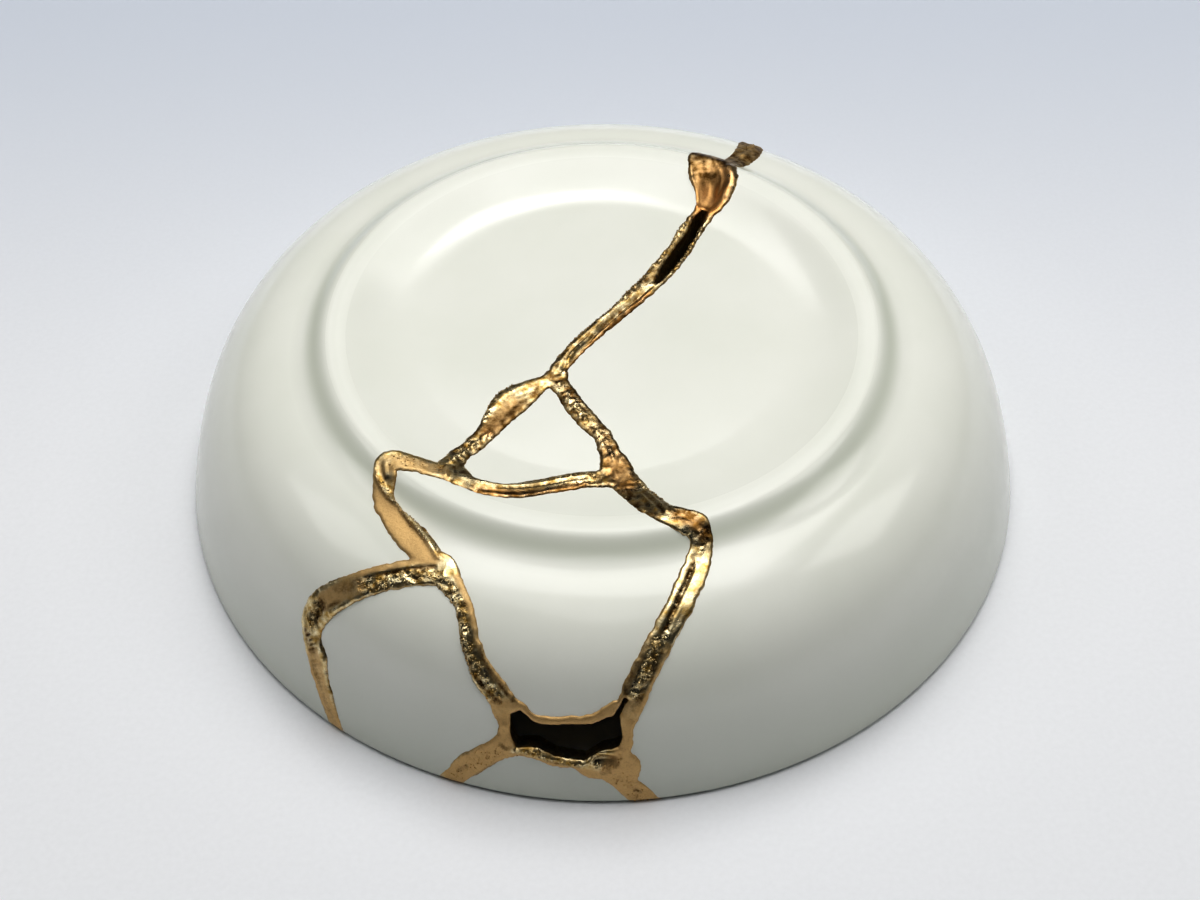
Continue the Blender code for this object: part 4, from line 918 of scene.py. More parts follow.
def turned_tree():
    """A half section, given as an object's points in order, turned round the Z axis and closed."""
    tree, given = new_geometry_tree("turned_shell", [
        ("Section", "NodeSocketObject"), ("Section Points", "NodeSocketInt"),
        ("Steps Round", "NodeSocketInt"), ("Merge Distance", "NodeSocketFloat"),
        ("Finish", "NodeSocketMaterial")])
    section = add_node(tree, "GeometryNodeObjectInfo", {"Object": given.outputs["Section"]})
    columns = add_node(tree, "ShaderNodeMath", {0: given.outputs["Steps Round"], 1: 1.0}, operation="ADD")
    grid = add_node(tree, "GeometryNodeMeshGrid", {"Vertices X": given.outputs["Section Points"],
                                                   "Vertices Y": columns.outputs["Value"]})
    index = add_node(tree, "GeometryNodeInputIndex").outputs["Index"]
    row = add_node(tree, "ShaderNodeMath", {0: index, 1: columns.outputs["Value"]}, operation="DIVIDE")
    row_floor = add_node(tree, "ShaderNodeMath", {0: row.outputs["Value"]}, operation="FLOOR")
    step = add_node(tree, "ShaderNodeMath", {0: index, 1: columns.outputs["Value"]},
                    operation="FLOORED_MODULO")
    share = add_node(tree, "ShaderNodeMath", {0: step.outputs["Value"], 1: given.outputs["Steps Round"]},
                     operation="DIVIDE")
    turn = add_node(tree, "ShaderNodeMath", {0: share.outputs["Value"], 1: 2 * pi}, operation="MULTIPLY")
    spot = add_node(tree, "GeometryNodeSampleIndex", {
        "Geometry": section.outputs["Geometry"], "Index": row_floor.outputs["Value"],
        "Value": add_node(tree, "GeometryNodeInputPosition").outputs["Position"]}, data_type="FLOAT_VECTOR")
    turned = add_node(tree, "ShaderNodeVectorRotate", {"Vector": spot.outputs["Value"],
                                                       "Angle": turn.outputs["Value"]},
                      rotation_type="Z_AXIS")
    shell = add_node(tree, "GeometryNodeSetPosition", {"Geometry": grid.outputs["Mesh"],
                                                       "Position": turned.outputs["Vector"]})
    closed = add_node(tree, "GeometryNodeMergeByDistance", {"Geometry": shell.outputs["Geometry"],
                                                            "Distance": given.outputs["Merge Distance"]})
    smooth = add_node(tree, "GeometryNodeSetShadeSmooth", {"Geometry": closed.outputs["Geometry"]})
    real = add_node(tree, "GeometryNodeRealizeInstances", {"Geometry": smooth.outputs["Geometry"]})
    finished = add_node(tree, "GeometryNodeSetMaterial", {"Geometry": real.outputs["Geometry"],
                                                          "Material": given.outputs["Finish"]})
    add_node(tree, "NodeGroupOutput", {"Geometry": finished.outputs["Geometry"]})
    return tree


def lofted_cutter(name, rings, finish, collection):
    """A closed loft through rings of points, with its faces pointing out."""
    bm = bmesh.new()
    rows = [[bm.verts.new(point) for point in ring] for ring in rings]
    for row, following in zip(rows, rows[1:]):
        for place in range(len(row)):
            beyond = (place + 1) % len(row)
            bm.faces.new((row[place], row[beyond], following[beyond], following[place]))
    bm.faces.new(rows[0])
    bm.faces.new(rows[-1])
    bmesh.ops.triangulate(bm, faces=bm.faces, quad_method="FIXED")
    bmesh.ops.recalc_face_normals(bm, faces=bm.faces)
    mesh = bpy.data.meshes.new(name)
    bm.to_mesh(mesh)
    bm.free()
    mesh.materials.append(finish)
    return new_object(name, mesh, collection)


def crack_rings(wall, stations, lap):
    """Four-cornered rings along one stretch of the seam, through the wall, set in from the gold by lap."""
    route = smooth_route(stations, spacing=1.2)
    half = np.maximum(route[:, 2] / 2 - lap, LEAST_CRACK / 2)[:, None]
    to_left = side_normals(route[:, :2]) * half
    left, right = route[:, :2] + to_left, route[:, :2] - to_left
    corners = [wall.cut_points(*side.T, past_face) for side, past_face in
               ((left, CUT_PAST), (right, CUT_PAST), (right, -CUT_PAST), (left, -CUT_PAST))]
    return np.stack(corners, axis=1)


def gap_rings(wall, outline, flare):
    """A gap's outline outside and inside the wall."""
    outline = np.array(outline)
    low, high = outline.min(axis=0), outline.max(axis=0)
    middle = (low + high) / 2
    inner_outline = middle + (outline - middle) * (1 + 2 * np.array(flare) / (high - low))
    return [wall.cut_points(*outline.T, GAP_CUT_PAST), wall.cut_points(*inner_outline.T, -CUT_PAST)]


def set_turned_normals(mesh, section):
    """Gives every glazed face the smooth normals of the turned section, and every broken face its own."""
    line = np.array(section.outer + section.inner[1:])
    normals = side_normals(line)
    tree = kdtree.KDTree(len(line))
    for place, (radius, height) in enumerate(line):
        tree.insert((radius, height, 0.0), place)
    tree.balance()
    turned = []
    for vertex in mesh.vertices:
        x, y, z = vertex.co / MM
        across, up = normals[tree.find((hypot(x, y), z, 0.0))[1]]
        outward = Vector((x, y, 0.0)).normalized()
        turned.append(Vector((outward.x * across, outward.y * across, up)).normalized())
    corner_normals = [Vector()] * len(mesh.loops)
    for polygon in mesh.polygons:
        polygon.use_smooth = True
        for loop in polygon.loop_indices:
            glazed = polygon.material_index == 0
            corner_normals[loop] = (turned[mesh.loops[loop].vertex_index] if glazed
                                    else polygon.normal.copy())
    mesh.normals_split_custom_set(corner_normals)


class KINTSUGI_OT_sherds(bpy.types.Operator):
    """Turns the porcelain dish, cracks it along the seam and keeps its six sherds"""
    bl_idname = "kintsugi.sherds"
    bl_label = "Porcelain sherds"
    bl_options = {"REGISTER", "UNDO"}

    def execute(self, context):
        scene = context.scene
        sizes, seam, finish = scene.kintsugi_dish, scene.kintsugi_seam, scene.kintsugi_finish
        wall = UnrolledWall(sizes)
        glaze, broken = glazed_porcelain(finish), broken_porcelain(finish)
        shell = self.turned_dish(sizes, glaze)
        cutters = bpy.data.collections.new("cracks")
        scene.collection.children.link(cutters)
        for name, stations in SEAM.items():
            lofted_cutter(name, crack_rings(wall, stations, seam.lap / MM), broken, cutters)
        for name, outline in GAPS.items():
            lofted_cutter(name, gap_rings(wall, outline, GAP_FLARE[name]), broken, cutters)
        cut = shell.modifiers.new("Cracks", "BOOLEAN")
        cut.operation, cut.solver, cut.operand_type = "DIFFERENCE", "EXACT", "COLLECTION"
        cut.material_mode = "TRANSFER"
        cut.collection = cutters
        apply_all(shell)
        for cutter in list(cutters.objects):
            bpy.data.objects.remove(cutter)
        bpy.data.collections.remove(cutters)
        section = Section(sizes, fineness=6)
        for name, sherd in self.parted(context, shell, wall).items():
            sherd.name = sherd.data.name = "glazed_" + name
            set_turned_normals(sherd.data, section)
            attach(sherd, "root")
            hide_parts(name)
        return {"FINISHED"}

    def turned_dish(self, sizes, glaze):
        """The whole dish, turned from its section."""
        section = Section(sizes)
        line = section.outer + section.inner[1:]
        mesh = bpy.data.meshes.new("section")
        mesh.from_pydata([(radius * MM, 0.0, height * MM) for radius, height in line], [], [])
        guide = new_object("section", mesh)
        shell = new_object("turned_dish", bpy.data.meshes.new("turned_dish"))
        add_tree(shell, turned_tree(), {"Section": guide, "Section Points": len(line),
                                        "Steps Round": sizes.steps_round, "Merge Distance": MERGE_DISTANCE,
                                        "Finish": glaze})
        apply_all(shell)
        bpy.data.objects.remove(guide)
        bm = bmesh.new()
        bm.from_mesh(shell.data)
        bmesh.ops.recalc_face_normals(bm, faces=bm.faces)
        bm.to_mesh(shell.data)
        bm.free()
        return shell

    def parted(self, context, shell, wall):
        """The cracked shell's pieces, by the sherd that each is. Chips hidden by the gold are dropped."""
        bpy.ops.object.select_all(action="DESELECT")
        context.view_layer.objects.active = shell
        shell.select_set(True)
        bpy.ops.mesh.separate(type="LOOSE")
        loose = list(context.selected_objects)
        trees = {}
        for piece in loose:
            tree = trees[piece.name] = kdtree.KDTree(len(piece.data.vertices))
            for vertex in piece.data.vertices:
                tree.insert(vertex.co, vertex.index)
            tree.balance()
        sherds = {}
        for name, (u, v) in SHERDS.items():
            place = wall.points(np.array([u]), np.array([v]))[0]
            sherds[name] = min(loose, key=lambda piece: trees[piece.name].find(place)[2])
        if len({sherd.name for sherd in sherds.values()}) != len(SHERDS):
            raise ValueError("the cracks don't part the dish into its six sherds")
        for chip in set(loose) - set(sherds.values()):
            bpy.data.objects.remove(chip)
        return sherds


# ----------------------------------------------------------------------------------------------------
# The gold seam
# ----------------------------------------------------------------------------------------------------

# Noise in the gold, as its amount and size in millimetres and its seed: how its edge and the gaps' edges
# wander, how it rolls and crumples, and the beads that coarse grains make
GOLD_WANDER = ((0.20, 1.5, 3.1), (0.15, 0.6, 8.7))
GAP_WANDER = ((0.12, 0.9, 5.3), (0.05, 0.4, 1.7))
ROLL = (0.10, 2.6, 2.2)
CRUMPLES = ((0.15, 2.6, 6.4), (0.09, 1.3, 1.9), (0.02, 0.6, 7.3))
BEADS = ((0.30, 0.62, 4.0), (0.16, 0.36, 9.0))
BEAD_BED = 0.2
STREAK_WIDTH, STREAK_LENGTH, STREAK_SEED = 0.45, 4.0, 3.3
MOTTLE_SIZE, MOTTLE_SEED = 0.8, 4.6

# The rest of how it is laid, in millimetres, and shares from 0 to 1
RIB_SPACING = 0.75
SMOOTH_FLATTENS, MATT_FLATTENS = 0.85, 0.5
MOTTLE_LEVEL, MOTTLE_DEPTH = 0.75, 0.9
PROUD_BY, WEAR_AND_HIGHLIGHT, HOLLOW_BRONZE_AND_SHADE, MATT_SPARES = 0.07, 0.45, 0.6, 0.6
THIN_WITHIN, THIN_BRONZE, EDGE_GLINT = 0.25, 0.5, 0.35
SPILL, NEAR_OUTLINE, FAR_AWAY = 0.5, 1.0, 9.0
RIM_FADE, LEAST_FADE = 5.0, 0.05
BORDER_HEIGHT, INNER_HEIGHT = 0.02, 0.18
GAP_EASE, TUCK = 2.4, 0.6
SKIN, MOST_SKIN_SHARE = 0.06, 0.25
LEAST_CROSSING = 0.12
SHARP_FROM = radians(55)

# How strongly each texture that is a share fills its reach before it falls off
SHARE_GAINS = {"grain": 2.0, "bronze": 2.0, "matt": 3.0, "warm": 1.5, "smooth": 3.0}


class Net:
    """A square net of points over the unrolled dish, in mm, with what the gold does at each of them."""

    def __init__(self, spacing, margin=4.0):
        places = np.vstack([np.array(stations)[:, :2] for stations in SEAM.values()])
        low, high = places.min(axis=0) - margin, places.max(axis=0) + margin
        self.u = np.arange(low[0], high[0], spacing)
        self.v = np.arange(low[1], high[1], spacing)
        self.all_u, self.all_v = np.meshgrid(self.u, self.v, indexing="ij")
        self.from_middle = np.hypot(self.all_u, self.all_v)
        self.spacing = spacing
        self.shape = self.all_u.shape

    def along_line(self, line, reach):
        """For the net points near a line: how far off they are, on which side, how far along, its value.

        The side is 1 on the left of the line's direction and -1 on its right.
        """
        distance = np.full(self.shape, np.inf)
        side, along, value = (np.zeros(self.shape) for _ in range(3))
        run = 0.0
        for start, end in zip(line, line[1:]):
            step = end[:2] - start[:2]
            length = hypot(*step)
            low = np.minimum(start, end)[:2] - reach
            high = np.maximum(start, end)[:2] + reach
            window = (slice(*np.searchsorted(self.u, (low[0], high[0]))),
                      slice(*np.searchsorted(self.v, (low[1], high[1]))))
            du = self.u[window[0], None] - start[0]
            dv = self.v[None, window[1]] - start[1]
            t = np.clip((du * step[0] + dv * step[1]) / length ** 2, 0.0, 1.0)
            away = np.hypot(du - t * step[0], dv - t * step[1])
            nearer = away < distance[window]
            for field, found in ((distance, away), (side, np.sign(step[0] * dv - step[1] * du)),
                                 (along, run + t * length), (value, start[2] + t * (end[2] - start[2]))):
                field[window] = np.where(nearer, found, field[window])
            run += length
        return distance, side, along, value

    def noise(self, across, along, seed, where):
        """Smooth noise from -1 to 1 over two fields, at the net points where it is wanted."""
        made = np.zeros(self.shape)
        for i, j in zip(*np.nonzero(where)):
            made[i, j] = noise.noise(Vector((across[i, j], along[i, j], seed)))
        return made

    def lumps(self, size, seed, where):
        """Smooth noise from -1 to 1 with lumps of this size, at the net points where it is wanted."""
        return self.noise(self.all_u / size, self.all_v / size, seed, where)

    def wander(self, outline, settings):
        """How far an outline strays, as lumps added up along it."""
        near = np.abs(outline) < NEAR_OUTLINE
        return sum(amount * self.lumps(size, seed, near) for amount, size, seed in settings)


def smooth_min(first, second, blend):
    """The smaller of two distances, blended where they are alike."""
    alike = np.maximum(blend - np.abs(first - second), 0.0) / blend
    return np.minimum(first, second) - alike * alike * blend / 4


def outline_distance(net, outline):
    """Distance from each net point to a closed outline, below 0 inside it."""
    corners = np.array(outline)
    closed = np.vstack((corners, corners[:1]))
    line = np.column_stack((closed, np.zeros(len(closed))))
    distance, _, _, _ = net.along_line(line, reach=6.0)
    inside = np.zeros(net.shape, bool)
    for (u0, v0), (u1, v1) in zip(closed, closed[1:]):
        if v0 != v1:
            crosses = (v0 <= net.all_v) != (v1 <= net.all_v)
            inside ^= crosses & (net.all_u < u0 + (net.all_v - v0) * (u1 - u0) / (v1 - v0))
    return np.where(inside, -distance, distance)


def gold_outline(net, wall):
    """Distances from each net point to the gold's outline, to each gap's and to the rim, below 0 inside."""
    gold = np.full(net.shape, FAR_AWAY)
    for stations in SEAM.values():
        distance, _, _, width = net.along_line(smooth_route(stations, spacing=0.7), reach=5.0)
        gold = smooth_min(gold, np.where(np.isfinite(distance), distance - width / 2, FAR_AWAY), blend=0.8)
    gold += net.wander(gold, GOLD_WANDER)
    gaps = {}
    for name, outline in GAPS.items():
        gap = outline_distance(net, outline)
        gaps[name] = gap + net.wander(gap, GAP_WANDER)
    return gold, gaps, net.from_middle - wall.full_reach


def beads(u, v, size, seed):
    """Round beads packed side by side, from 0 between them to 1 on top."""
    nearest = noise.voronoi(Vector((u / size, v / size, seed)))[0][0]
    return max(0.0, 1.0 - (nearest / 0.6) ** 2) ** 0.5


def stroke_height(net, texture, weight, away, along):
    """How high a stroke stands across and along its line, for an amount of 1 mm."""
    if texture == "soft":
        return weight * weight * (3 - 2 * weight)
    if texture == "ribs":
        return weight * np.sin(along * 2 * pi / RIB_SPACING)
    if texture == "brushed":
        across = np.where(weight > 0, away, 0.0) / STREAK_WIDTH
        return weight * net.noise(across, along / STREAK_LENGTH, STREAK_SEED, weight > 0)
    return weight


def relief(net, gold):
    """Height of the gold's strokes in mm, and how grainy, bronzed, matt and warm the gold is, on the net.
    The bronzed share also holds painted shade in the hollows and over the base, and painted highlight where
    it is worn off the ridges. The warm share is painted glow.
    """
    on_gold = gold < SPILL
    roll, roll_size, roll_seed = ROLL
    height = roll * net.lumps(roll_size, roll_seed, on_gold)
    crumpled = np.zeros(net.shape)
    for amount, size, seed in CRUMPLES:
        crumpled += amount * (0.5 - 2.0 * np.abs(net.lumps(size, seed, on_gold)))
    shares = {texture: np.zeros(net.shape) for texture in SHARE_GAINS}
    for texture, left, right, points in RELIEF:
        reach = max(left, right)
        distance, side, along, amount = net.along_line(smooth_route(points, spacing=0.5), reach)
        share = np.where(np.isfinite(distance), distance, reach) / np.where(side > 0, left, right)
        weight = 1.0 - np.clip(share, 0.0, 1.0)
        if texture in shares:
            filled = amount * np.minimum(weight * SHARE_GAINS[texture], 1.0)
            shares[texture] = np.maximum(shares[texture], filled)
        else:
            away = side * np.where(np.isfinite(distance), distance, 0.0)
            height += amount * stroke_height(net, texture, weight, away, along)
    grainy, bronzed_and_shaded, matt, warm, smooth = shares.values()
    height += crumpled * (1.0 - SMOOTH_FLATTENS * smooth) * (1.0 - MATT_FLATTENS * matt)
    # Bronze is mottled. It gathers at the thin edge, and in the hollows as bronze and painted shade, and is
    # worn off what stands proud, which paints highlight on the ridges as well as showing wear.
    mottle = MOTTLE_LEVEL + MOTTLE_DEPTH * net.lumps(MOTTLE_SIZE, MOTTLE_SEED, on_gold)
    proud = (height - eased(height, 3)) / PROUD_BY
    worn = bronzed_and_shaded * np.clip(mottle, 0.0, 1.0) * (1.0 - WEAR_AND_HIGHLIGHT * np.clip(proud, 0.0, 1.0))
    darkened = HOLLOW_BRONZE_AND_SHADE * np.clip(-proud, 0.0, 1.0) * (1.0 - MATT_SPARES * matt)
    bronzed_and_shaded = np.maximum(worn, darkened)
    thin_edge = np.clip(1.0 + gold / THIN_WITHIN, 0.0, 1.0)
    bronzed_and_shaded = np.maximum(bronzed_and_shaded, THIN_BRONZE * thin_edge * (1.0 - matt))
    # Painted glints: a warmer tone along the thin edge
    warm = np.maximum(warm, EDGE_GLINT * thin_edge)
    for i, j in zip(*np.nonzero((grainy > 0.01) & on_gold)):
        beaded = sum(amount * beads(net.u[i], net.v[j], size, seed) for amount, size, seed in BEADS)
        height[i, j] += grainy[i, j] * (beaded - BEAD_BED)
    return height, grainy, bronzed_and_shaded, matt, warm


def eased(field, times):
    """A net field smoothed by averaging each point with its neighbours, this many times over."""
    for _ in range(times):
        field = (field + np.roll(field, 1, 0) + np.roll(field, -1, 0)) / 3
        field = (field + np.roll(field, 1, 1) + np.roll(field, -1, 1)) / 3
    return field


def edge_rise(distance, reach):
    """How far the gold has risen from its edge: 0 at the edge, rounding over to 1 at reach inside it."""
    inward = np.clip(-distance / reach, 0.0, 1.0)
    return np.sqrt(1.0 - (1.0 - inward) ** 2)


def net_outline_mesh(inside, distance):
    """The part of the net that is inside, as faces of point numbers, with the points where edges cross out.

    Returns the crossings as (inside point, outside point, share), the faces, and the border's edges, each
    with the gold on its left.
    """
    numbers = np.full(inside.shape, -1)
    numbers[inside] = np.arange(inside.sum())
    quarters = (numbers[:-1, :-1], numbers[1:, :-1], numbers[1:, 1:], numbers[:-1, 1:])
    stacked = np.stack(quarters, axis=-1)
    full = (stacked >= 0).all(axis=-1)
    partly = (stacked >= 0).any(axis=-1) & ~full
    faces = [tuple(int(number) for number in quad) for quad in stacked[full]]
    crossings, numbered, border = [], {}, []
    first_crossing = int(inside.sum())
    for i, j in zip(*np.nonzero(partly)):
        cell = [(i, j), (i + 1, j), (i + 1, j + 1), (i, j + 1)]
        face, kinds = [], []
        for here, beyond in zip(cell, cell[1:] + cell[:1]):
            if inside[here]:
                face.append(int(numbers[here]))
                kinds.append("inside")
            if inside[here] != inside[beyond]:
                within, outside = (here, beyond) if inside[here] else (beyond, here)
                key = (within, outside)
                if key not in numbered:
                    numbered[key] = first_crossing + len(crossings)
                    depth, past = -distance[within], distance[outside]
                    crossings.append((within, outside, max(depth / (depth + past), LEAST_CROSSING)))
                face.append(numbered[key])
                kinds.append("out" if inside[here] else "in")
        faces.append(tuple(face))
        for place, kind in enumerate(kinds):
            beyond = (place + 1) % len(face)
            if kind == "out" and kinds[beyond] == "in":
                border.append((face[place], face[beyond]))
    return crossings, faces, border


def at_crossings(field, crossings):
    """A net field read at the crossings."""
    return np.array([field[within] * (1 - share) + field[outside] * share
                     for within, outside, share in crossings])


class KINTSUGI_OT_seam(bpy.types.Operator):
    """Lays the gold seam over the cracks, with its relief, its lap over the glaze and its loose grains"""
    bl_idname = "kintsugi.seam"
    bl_label = "Gold seam"
    bl_options = {"REGISTER", "UNDO"}

    def execute(self, context):
        scene = context.scene
        sizes, seam, finish = scene.kintsugi_dish, scene.kintsugi_seam, scene.kintsugi_finish
        wall = UnrolledWall(sizes)
        gold = new_object("gold_powder_seam", self.laid_gold(wall, seam))
        powder = gold_powder(finish)
        gold.data.materials.append(powder)
        add_tree(gold, grain_tree(), {"Grains": seam.grains, "Grain Radius": seam.grain_radius,
                                      "Seed": seam.seed, "Finish": powder})
        apply_all(gold)
        gold.data.set_sharp_from_angle(angle=SHARP_FROM)
        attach(gold, "root")
        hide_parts("gold_seam")
        return {"FINISHED"}

    def laid_gold(self, wall, seam):
        """The closed body of gold: a sheet over the cracks, a filling through the wall, a sheet inside."""
        net = Net(seam.net_spacing / MM)
        gold, gaps, rim = gold_outline(net, wall)
        distance = np.maximum(gold, rim)
        for gap in gaps.values():
            distance = np.maximum(distance, -gap)
        strokes, *kinds = relief(net, gold)
        rise = edge_rise(distance, seam.edge_round / MM)
        fade = np.clip((wall.wall_reach - net.from_middle) / RIM_FADE, LEAST_FADE, 1.0)
        height = rise * (seam.body_height / MM + strokes) * fade
        inside = distance < 0
        crossings, faces, border = net_outline_mesh(inside, distance)

        def over_gold(field):
            return np.concatenate((field[inside], at_crossings(field, crossings)))

        u, v, top_height, under_rise, rim_fade, *shares = (
            over_gold(field) for field in (net.all_u, net.all_v, height, rise, fade, *kinds))
        on_border = np.arange(len(u)) >= inside.sum()
        top_height[on_border] = BORDER_HEIGHT

        flare = np.zeros((len(u), 2))
        for name, gap in gaps.items():
            low, high = np.min(GAPS[name], axis=0), np.max(GAPS[name], axis=0)
            middle, reach = (low + high) / 2, (high - low) / 2
            ease = np.clip(1.0 - over_gold(gap) / GAP_EASE, 0.0, 1.0)
            outward = np.clip(np.stack((u - middle[0], v - middle[1]), axis=1) / reach, -1.0, 1.0)
            flare += outward * np.array(GAP_FLARE[name]) * ease[:, None]
        under_height = np.where(on_border, 0.0, INNER_HEIGHT * under_rise * rim_fade)
        top = wall.points(u, v, 0.0, top_height)
        under = wall.points(u + flare[:, 0], v + flare[:, 1], 1.0, under_height)

        rings = self.filling_rings(net, wall, gold, gaps, crossings, u[on_border], v[on_border],
                                   flare[on_border])
        return self.closed_body(top, under, rings, faces, border, int(inside.sum()), shares)

    def filling_rings(self, net, wall, gold, gaps, crossings, u, v, flare):
        """Rings of points down the gold's border: under the lap, in to the broken edge, down, out again."""
        slope_u, slope_v = np.gradient(gold, net.spacing)
        inward = -np.stack((at_crossings(slope_u, crossings), at_crossings(slope_v, crossings)), axis=1)
        inward /= np.maximum(np.linalg.norm(inward, axis=1), 0.001)[:, None]
        at_gap = np.zeros(len(u), bool)
        for gap in gaps.values():
            at_gap |= np.abs(at_crossings(gap, crossings)) < np.abs(at_crossings(gold, crossings))
        tuck = np.where(at_gap, 0.0, TUCK)
        skin = np.minimum(SKIN / np.maximum(wall.depth(u, v), SKIN), MOST_SKIN_SHARE)
        rings = []
        for pulled_in, share in ((0.0, skin), (tuck, skin), (tuck, 1 - skin), (0.0, 1 - skin)):
            place_u = u + inward[:, 0] * pulled_in + flare[:, 0] * share
            place_v = v + inward[:, 1] * pulled_in + flare[:, 1] * share
            rings.append(wall.points(place_u, place_v, share))
        return rings

    def closed_body(self, top, under, rings, faces, border, first_crossing, shares):
        """One closed mesh from the top sheet, the sheet inside the bowl and the rings between them."""
        count = len(top)
        points = np.vstack((top, under, *rings))
        ring_size = len(rings[0])

        def ring_number(ring, crossing):
            if ring < 0:
                return crossing
            if ring >= len(rings):
                return crossing + count
            return 2 * count + ring * ring_size + crossing - first_crossing

        walls = []
        for start, end in border:
            for ring in range(-1, len(rings)):
                walls.append((ring_number(ring, end), ring_number(ring, start),
                              ring_number(ring + 1, start), ring_number(ring + 1, end)))
        all_faces = faces + [tuple(number + count for number in reversed(face)) for face in faces] + walls
        mesh = bpy.data.meshes.new("gold_powder_seam")
        mesh.from_pydata(points.tolist(), [], all_faces)
        rest = np.zeros(len(points) - count)
        for name, values in zip(("grain_share", "bronzed_and_shaded", "matt", "warm"), shares):
            attribute = mesh.attributes.new(name, "FLOAT", "POINT")
            attribute.data.foreach_set("value", np.concatenate((values, rest)).astype(np.float32))
        bm = bmesh.new()
        bm.from_mesh(mesh)
        bmesh.ops.remove_doubles(bm, verts=bm.verts, dist=MERGE_DISTANCE)
        bmesh.ops.dissolve_degenerate(bm, edges=bm.edges, dist=MERGE_DISTANCE)
        bm.to_mesh(mesh)
        bm.free()
        mesh.shade_smooth()
        return mesh


def grain_tree():
    """Loose round grains scattered over a surface, thickest where its grain_share is high."""
    tree, given = new_geometry_tree("gold_grains", [
        ("Geometry", "NodeSocketGeometry"), ("Grains", "NodeSocketInt"),
        ("Grain Radius", "NodeSocketFloat"), ("Seed", "NodeSocketInt"), ("Finish", "NodeSocketMaterial")])
    share = add_node(tree, "GeometryNodeInputNamedAttribute", {"Name": "grain_share"}, data_type="FLOAT")
    per_square_metre = add_node(tree, "ShaderNodeMath", {0: given.outputs["Grains"], 1: 1.0 / MM ** 2},
                                operation="MULTIPLY")
    density = add_node(tree, "ShaderNodeMath", {0: share.outputs["Attribute"],
                                                1: per_square_metre.outputs["Value"]}, operation="MULTIPLY")
    scatter = add_node(tree, "GeometryNodeDistributePointsOnFaces", {
        "Mesh": given.outputs["Geometry"], "Density": density.outputs["Value"],
        "Seed": given.outputs["Seed"]})
    grain = add_node(tree, "GeometryNodeMeshIcoSphere", {"Radius": given.outputs["Grain Radius"],
                                                         "Subdivisions": 1})
    scale = add_node(tree, "FunctionNodeRandomValue", {2: 0.45, 3: 1.0, "Seed": given.outputs["Seed"]},
                     data_type="FLOAT")
    placed = add_node(tree, "GeometryNodeInstanceOnPoints", {
        "Points": scatter.outputs["Points"], "Instance": grain.outputs["Mesh"],
        "Rotation": scatter.outputs["Rotation"], "Scale": scale.outputs[1]})
    real = add_node(tree, "GeometryNodeRealizeInstances", {"Geometry": placed.outputs["Instances"]})
    smooth = add_node(tree, "GeometryNodeSetShadeSmooth", {"Geometry": real.outputs["Geometry"]})
    joined = add_node(tree, "GeometryNodeJoinGeometry")
    tree.links.new(given.outputs["Geometry"], joined.inputs["Geometry"])
    tree.links.new(smooth.outputs["Geometry"], joined.inputs["Geometry"])
    finished = add_node(tree, "GeometryNodeSetMaterial", {"Geometry": joined.outputs["Geometry"],
                                                          "Material": given.outputs["Finish"]})
    add_node(tree, "NodeGroupOutput", {"Geometry": finished.outputs["Geometry"]})
    return tree


# ----------------------------------------------------------------------------------------------------
# The stage
# ----------------------------------------------------------------------------------------------------

CARD_HALF_WIDTH = 1.6

# Each light's name, place and width in metres, the setting that gives its power, and its share of that
LIGHTS = (
    ("softbox", (0.06, 0.46, 1.27), 1.0, "softbox_power", 1.0),
    ("overhead", (0.02, 0.02, 1.35), 1.0, "overhead_power", 1.0),
    ("left side", (-0.90, 0.10, 1.0), 0.5, "side_power", 0.8),
    ("right side", (0.90, 0.10, 1.0), 0.5, "side_power", 1.1),
    ("strip", (0.09, 0.68, 1.15), 0.24, "strip_power", 1.0),
)


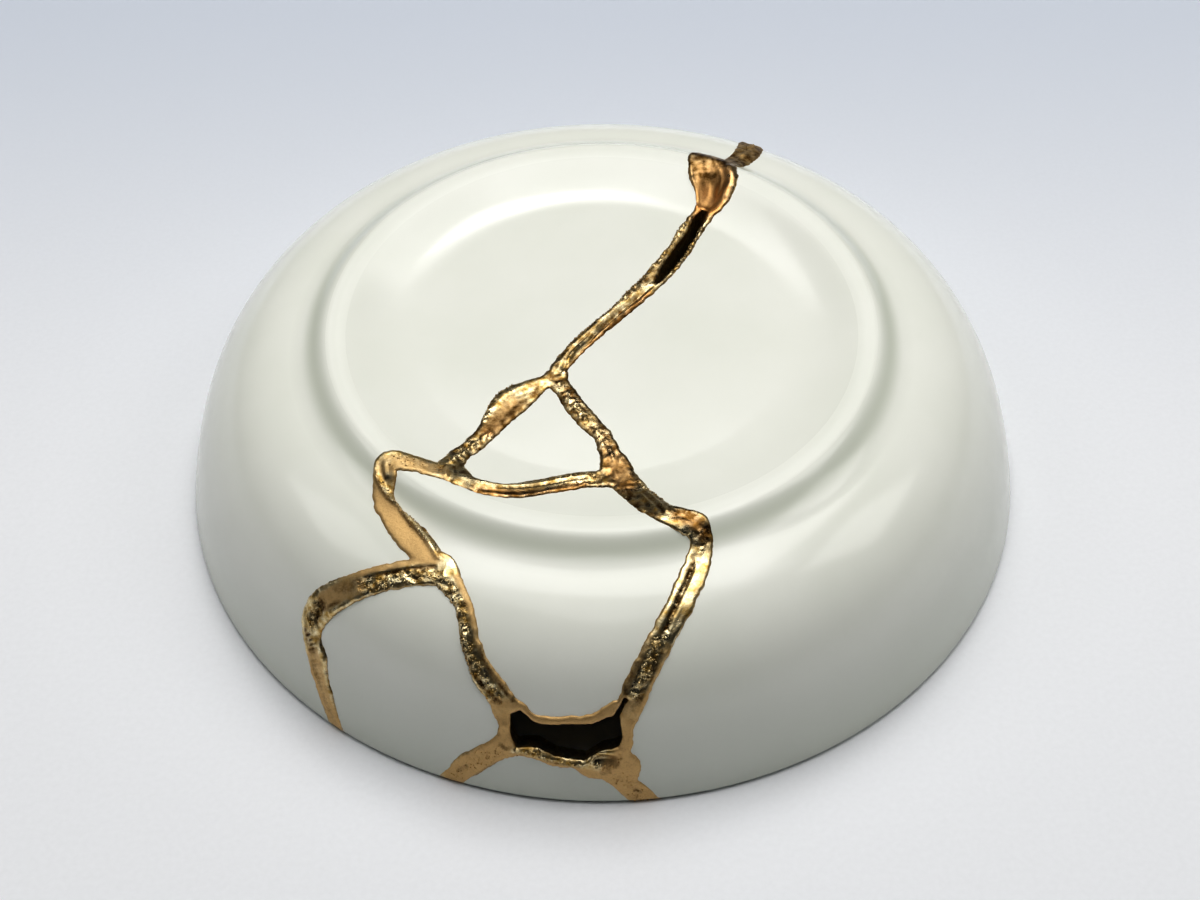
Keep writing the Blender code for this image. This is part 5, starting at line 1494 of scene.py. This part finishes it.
class KINTSUGI_OT_stage(bpy.types.Operator):
    """Lays the pale card, hangs the lights and sets up the camera"""
    bl_idname = "kintsugi.stage"
    bl_label = "Stage"
    bl_options = {"REGISTER", "UNDO"}

    def execute(self, context):
        scene = context.scene
        stage, finish = scene.kintsugi_stage, scene.kintsugi_finish
        self.lay_card(table_paper(finish))
        for name, place, width, power, share in LIGHTS:
            self.hang_light(name, place, width, getattr(stage, power) * share)
        self.set_room(scene, stage.room_strength)
        self.set_camera(scene, stage)
        scene.view_settings.view_transform = "Standard"
        scene.view_settings.look = "Medium High Contrast"
        return {"FINISHED"}

    def lay_card(self, paper):
        """A wide card under the dish."""
        bm = bmesh.new()
        bmesh.ops.create_grid(bm, x_segments=8, y_segments=8, size=CARD_HALF_WIDTH)
        mesh = bpy.data.meshes.new("pale_card")
        bm.to_mesh(mesh)
        bm.free()
        mesh.materials.append(paper)
        new_object("pale_card", mesh)

    def hang_light(self, name, place, width, power):
        """A square soft light, very slightly warm, that faces the dish."""
        light = bpy.data.lights.new(name, "AREA")
        light.shape = "SQUARE"
        light.size, light.energy, light.color = width, power, (1.0, 0.99, 0.96)
        lamp = bpy.data.objects.new(name, light)
        lamp.location = place
        lamp.rotation_euler = (-Vector(place)).to_track_quat("-Z", "Y").to_euler()
        bpy.context.scene.collection.objects.link(lamp)

    def set_room(self, scene, strength):
        """A dim, cool room all round."""
        world = bpy.data.worlds.new("room")
        world.use_nodes = True
        backdrop = world.node_tree.nodes["Background"]
        backdrop.inputs["Color"].default_value = (0.86, 0.92, 1.0, 1.0)
        backdrop.inputs["Strength"].default_value = strength
        scene.world = world

    def set_camera(self, scene, stage):
        """The camera, above and in front of the dish."""
        camera = bpy.data.cameras.new("camera")
        camera.lens, camera.sensor_width = stage.lens, 36.0
        camera.clip_start = 0.01
        eye = bpy.data.objects.new("camera", camera)
        eye.location = stage.camera_place
        eye.rotation_euler = Euler(stage.camera_turn, "XYZ")
        scene.collection.objects.link(eye)
        scene.camera = eye


class KINTSUGI_PT_dish(bpy.types.Panel):
    """The kintsugi dish's sizes, colours and steps"""
    bl_idname = "KINTSUGI_PT_dish"
    bl_label = "Kintsugi dish"
    bl_space_type = "VIEW_3D"
    bl_region_type = "UI"
    bl_category = "Kintsugi"

    def draw(self, context):
        layout = self.layout
        for place, group in SETTINGS.items():
            box = layout.box()
            for name in group.__annotations__:
                box.prop(getattr(context.scene, place), name)
        for operator in OPERATORS:
            layout.operator(operator.bl_idname)


SETTINGS = {
    "kintsugi_dish": DishSizes,
    "kintsugi_seam": SeamSizes,
    "kintsugi_finish": DishFinish,
    "kintsugi_stage": StageSizes,
}
OPERATORS = (KINTSUGI_OT_sherds, KINTSUGI_OT_seam, KINTSUGI_OT_stage)


def register():
    """Registers the settings, the operators and the panel."""
    for place, group in SETTINGS.items():
        bpy.utils.register_class(group)
        setattr(bpy.types.Scene, place, PointerProperty(type=group))
    for cls in (*OPERATORS, KINTSUGI_PT_dish):
        bpy.utils.register_class(cls)


def unregister():
    """Takes them away again, in the opposite order."""
    for cls in (KINTSUGI_PT_dish, *reversed(OPERATORS)):
        bpy.utils.unregister_class(cls)
    for place, group in reversed(SETTINGS.items()):
        delattr(bpy.types.Scene, place)
        bpy.utils.unregister_class(group)


def main():
    """Builds the dish and its stage."""
    register()
    bpy.ops.kintsugi.sherds()
    bpy.ops.kintsugi.seam()
    bpy.ops.kintsugi.stage()


if __name__ == "__main__":
    main()
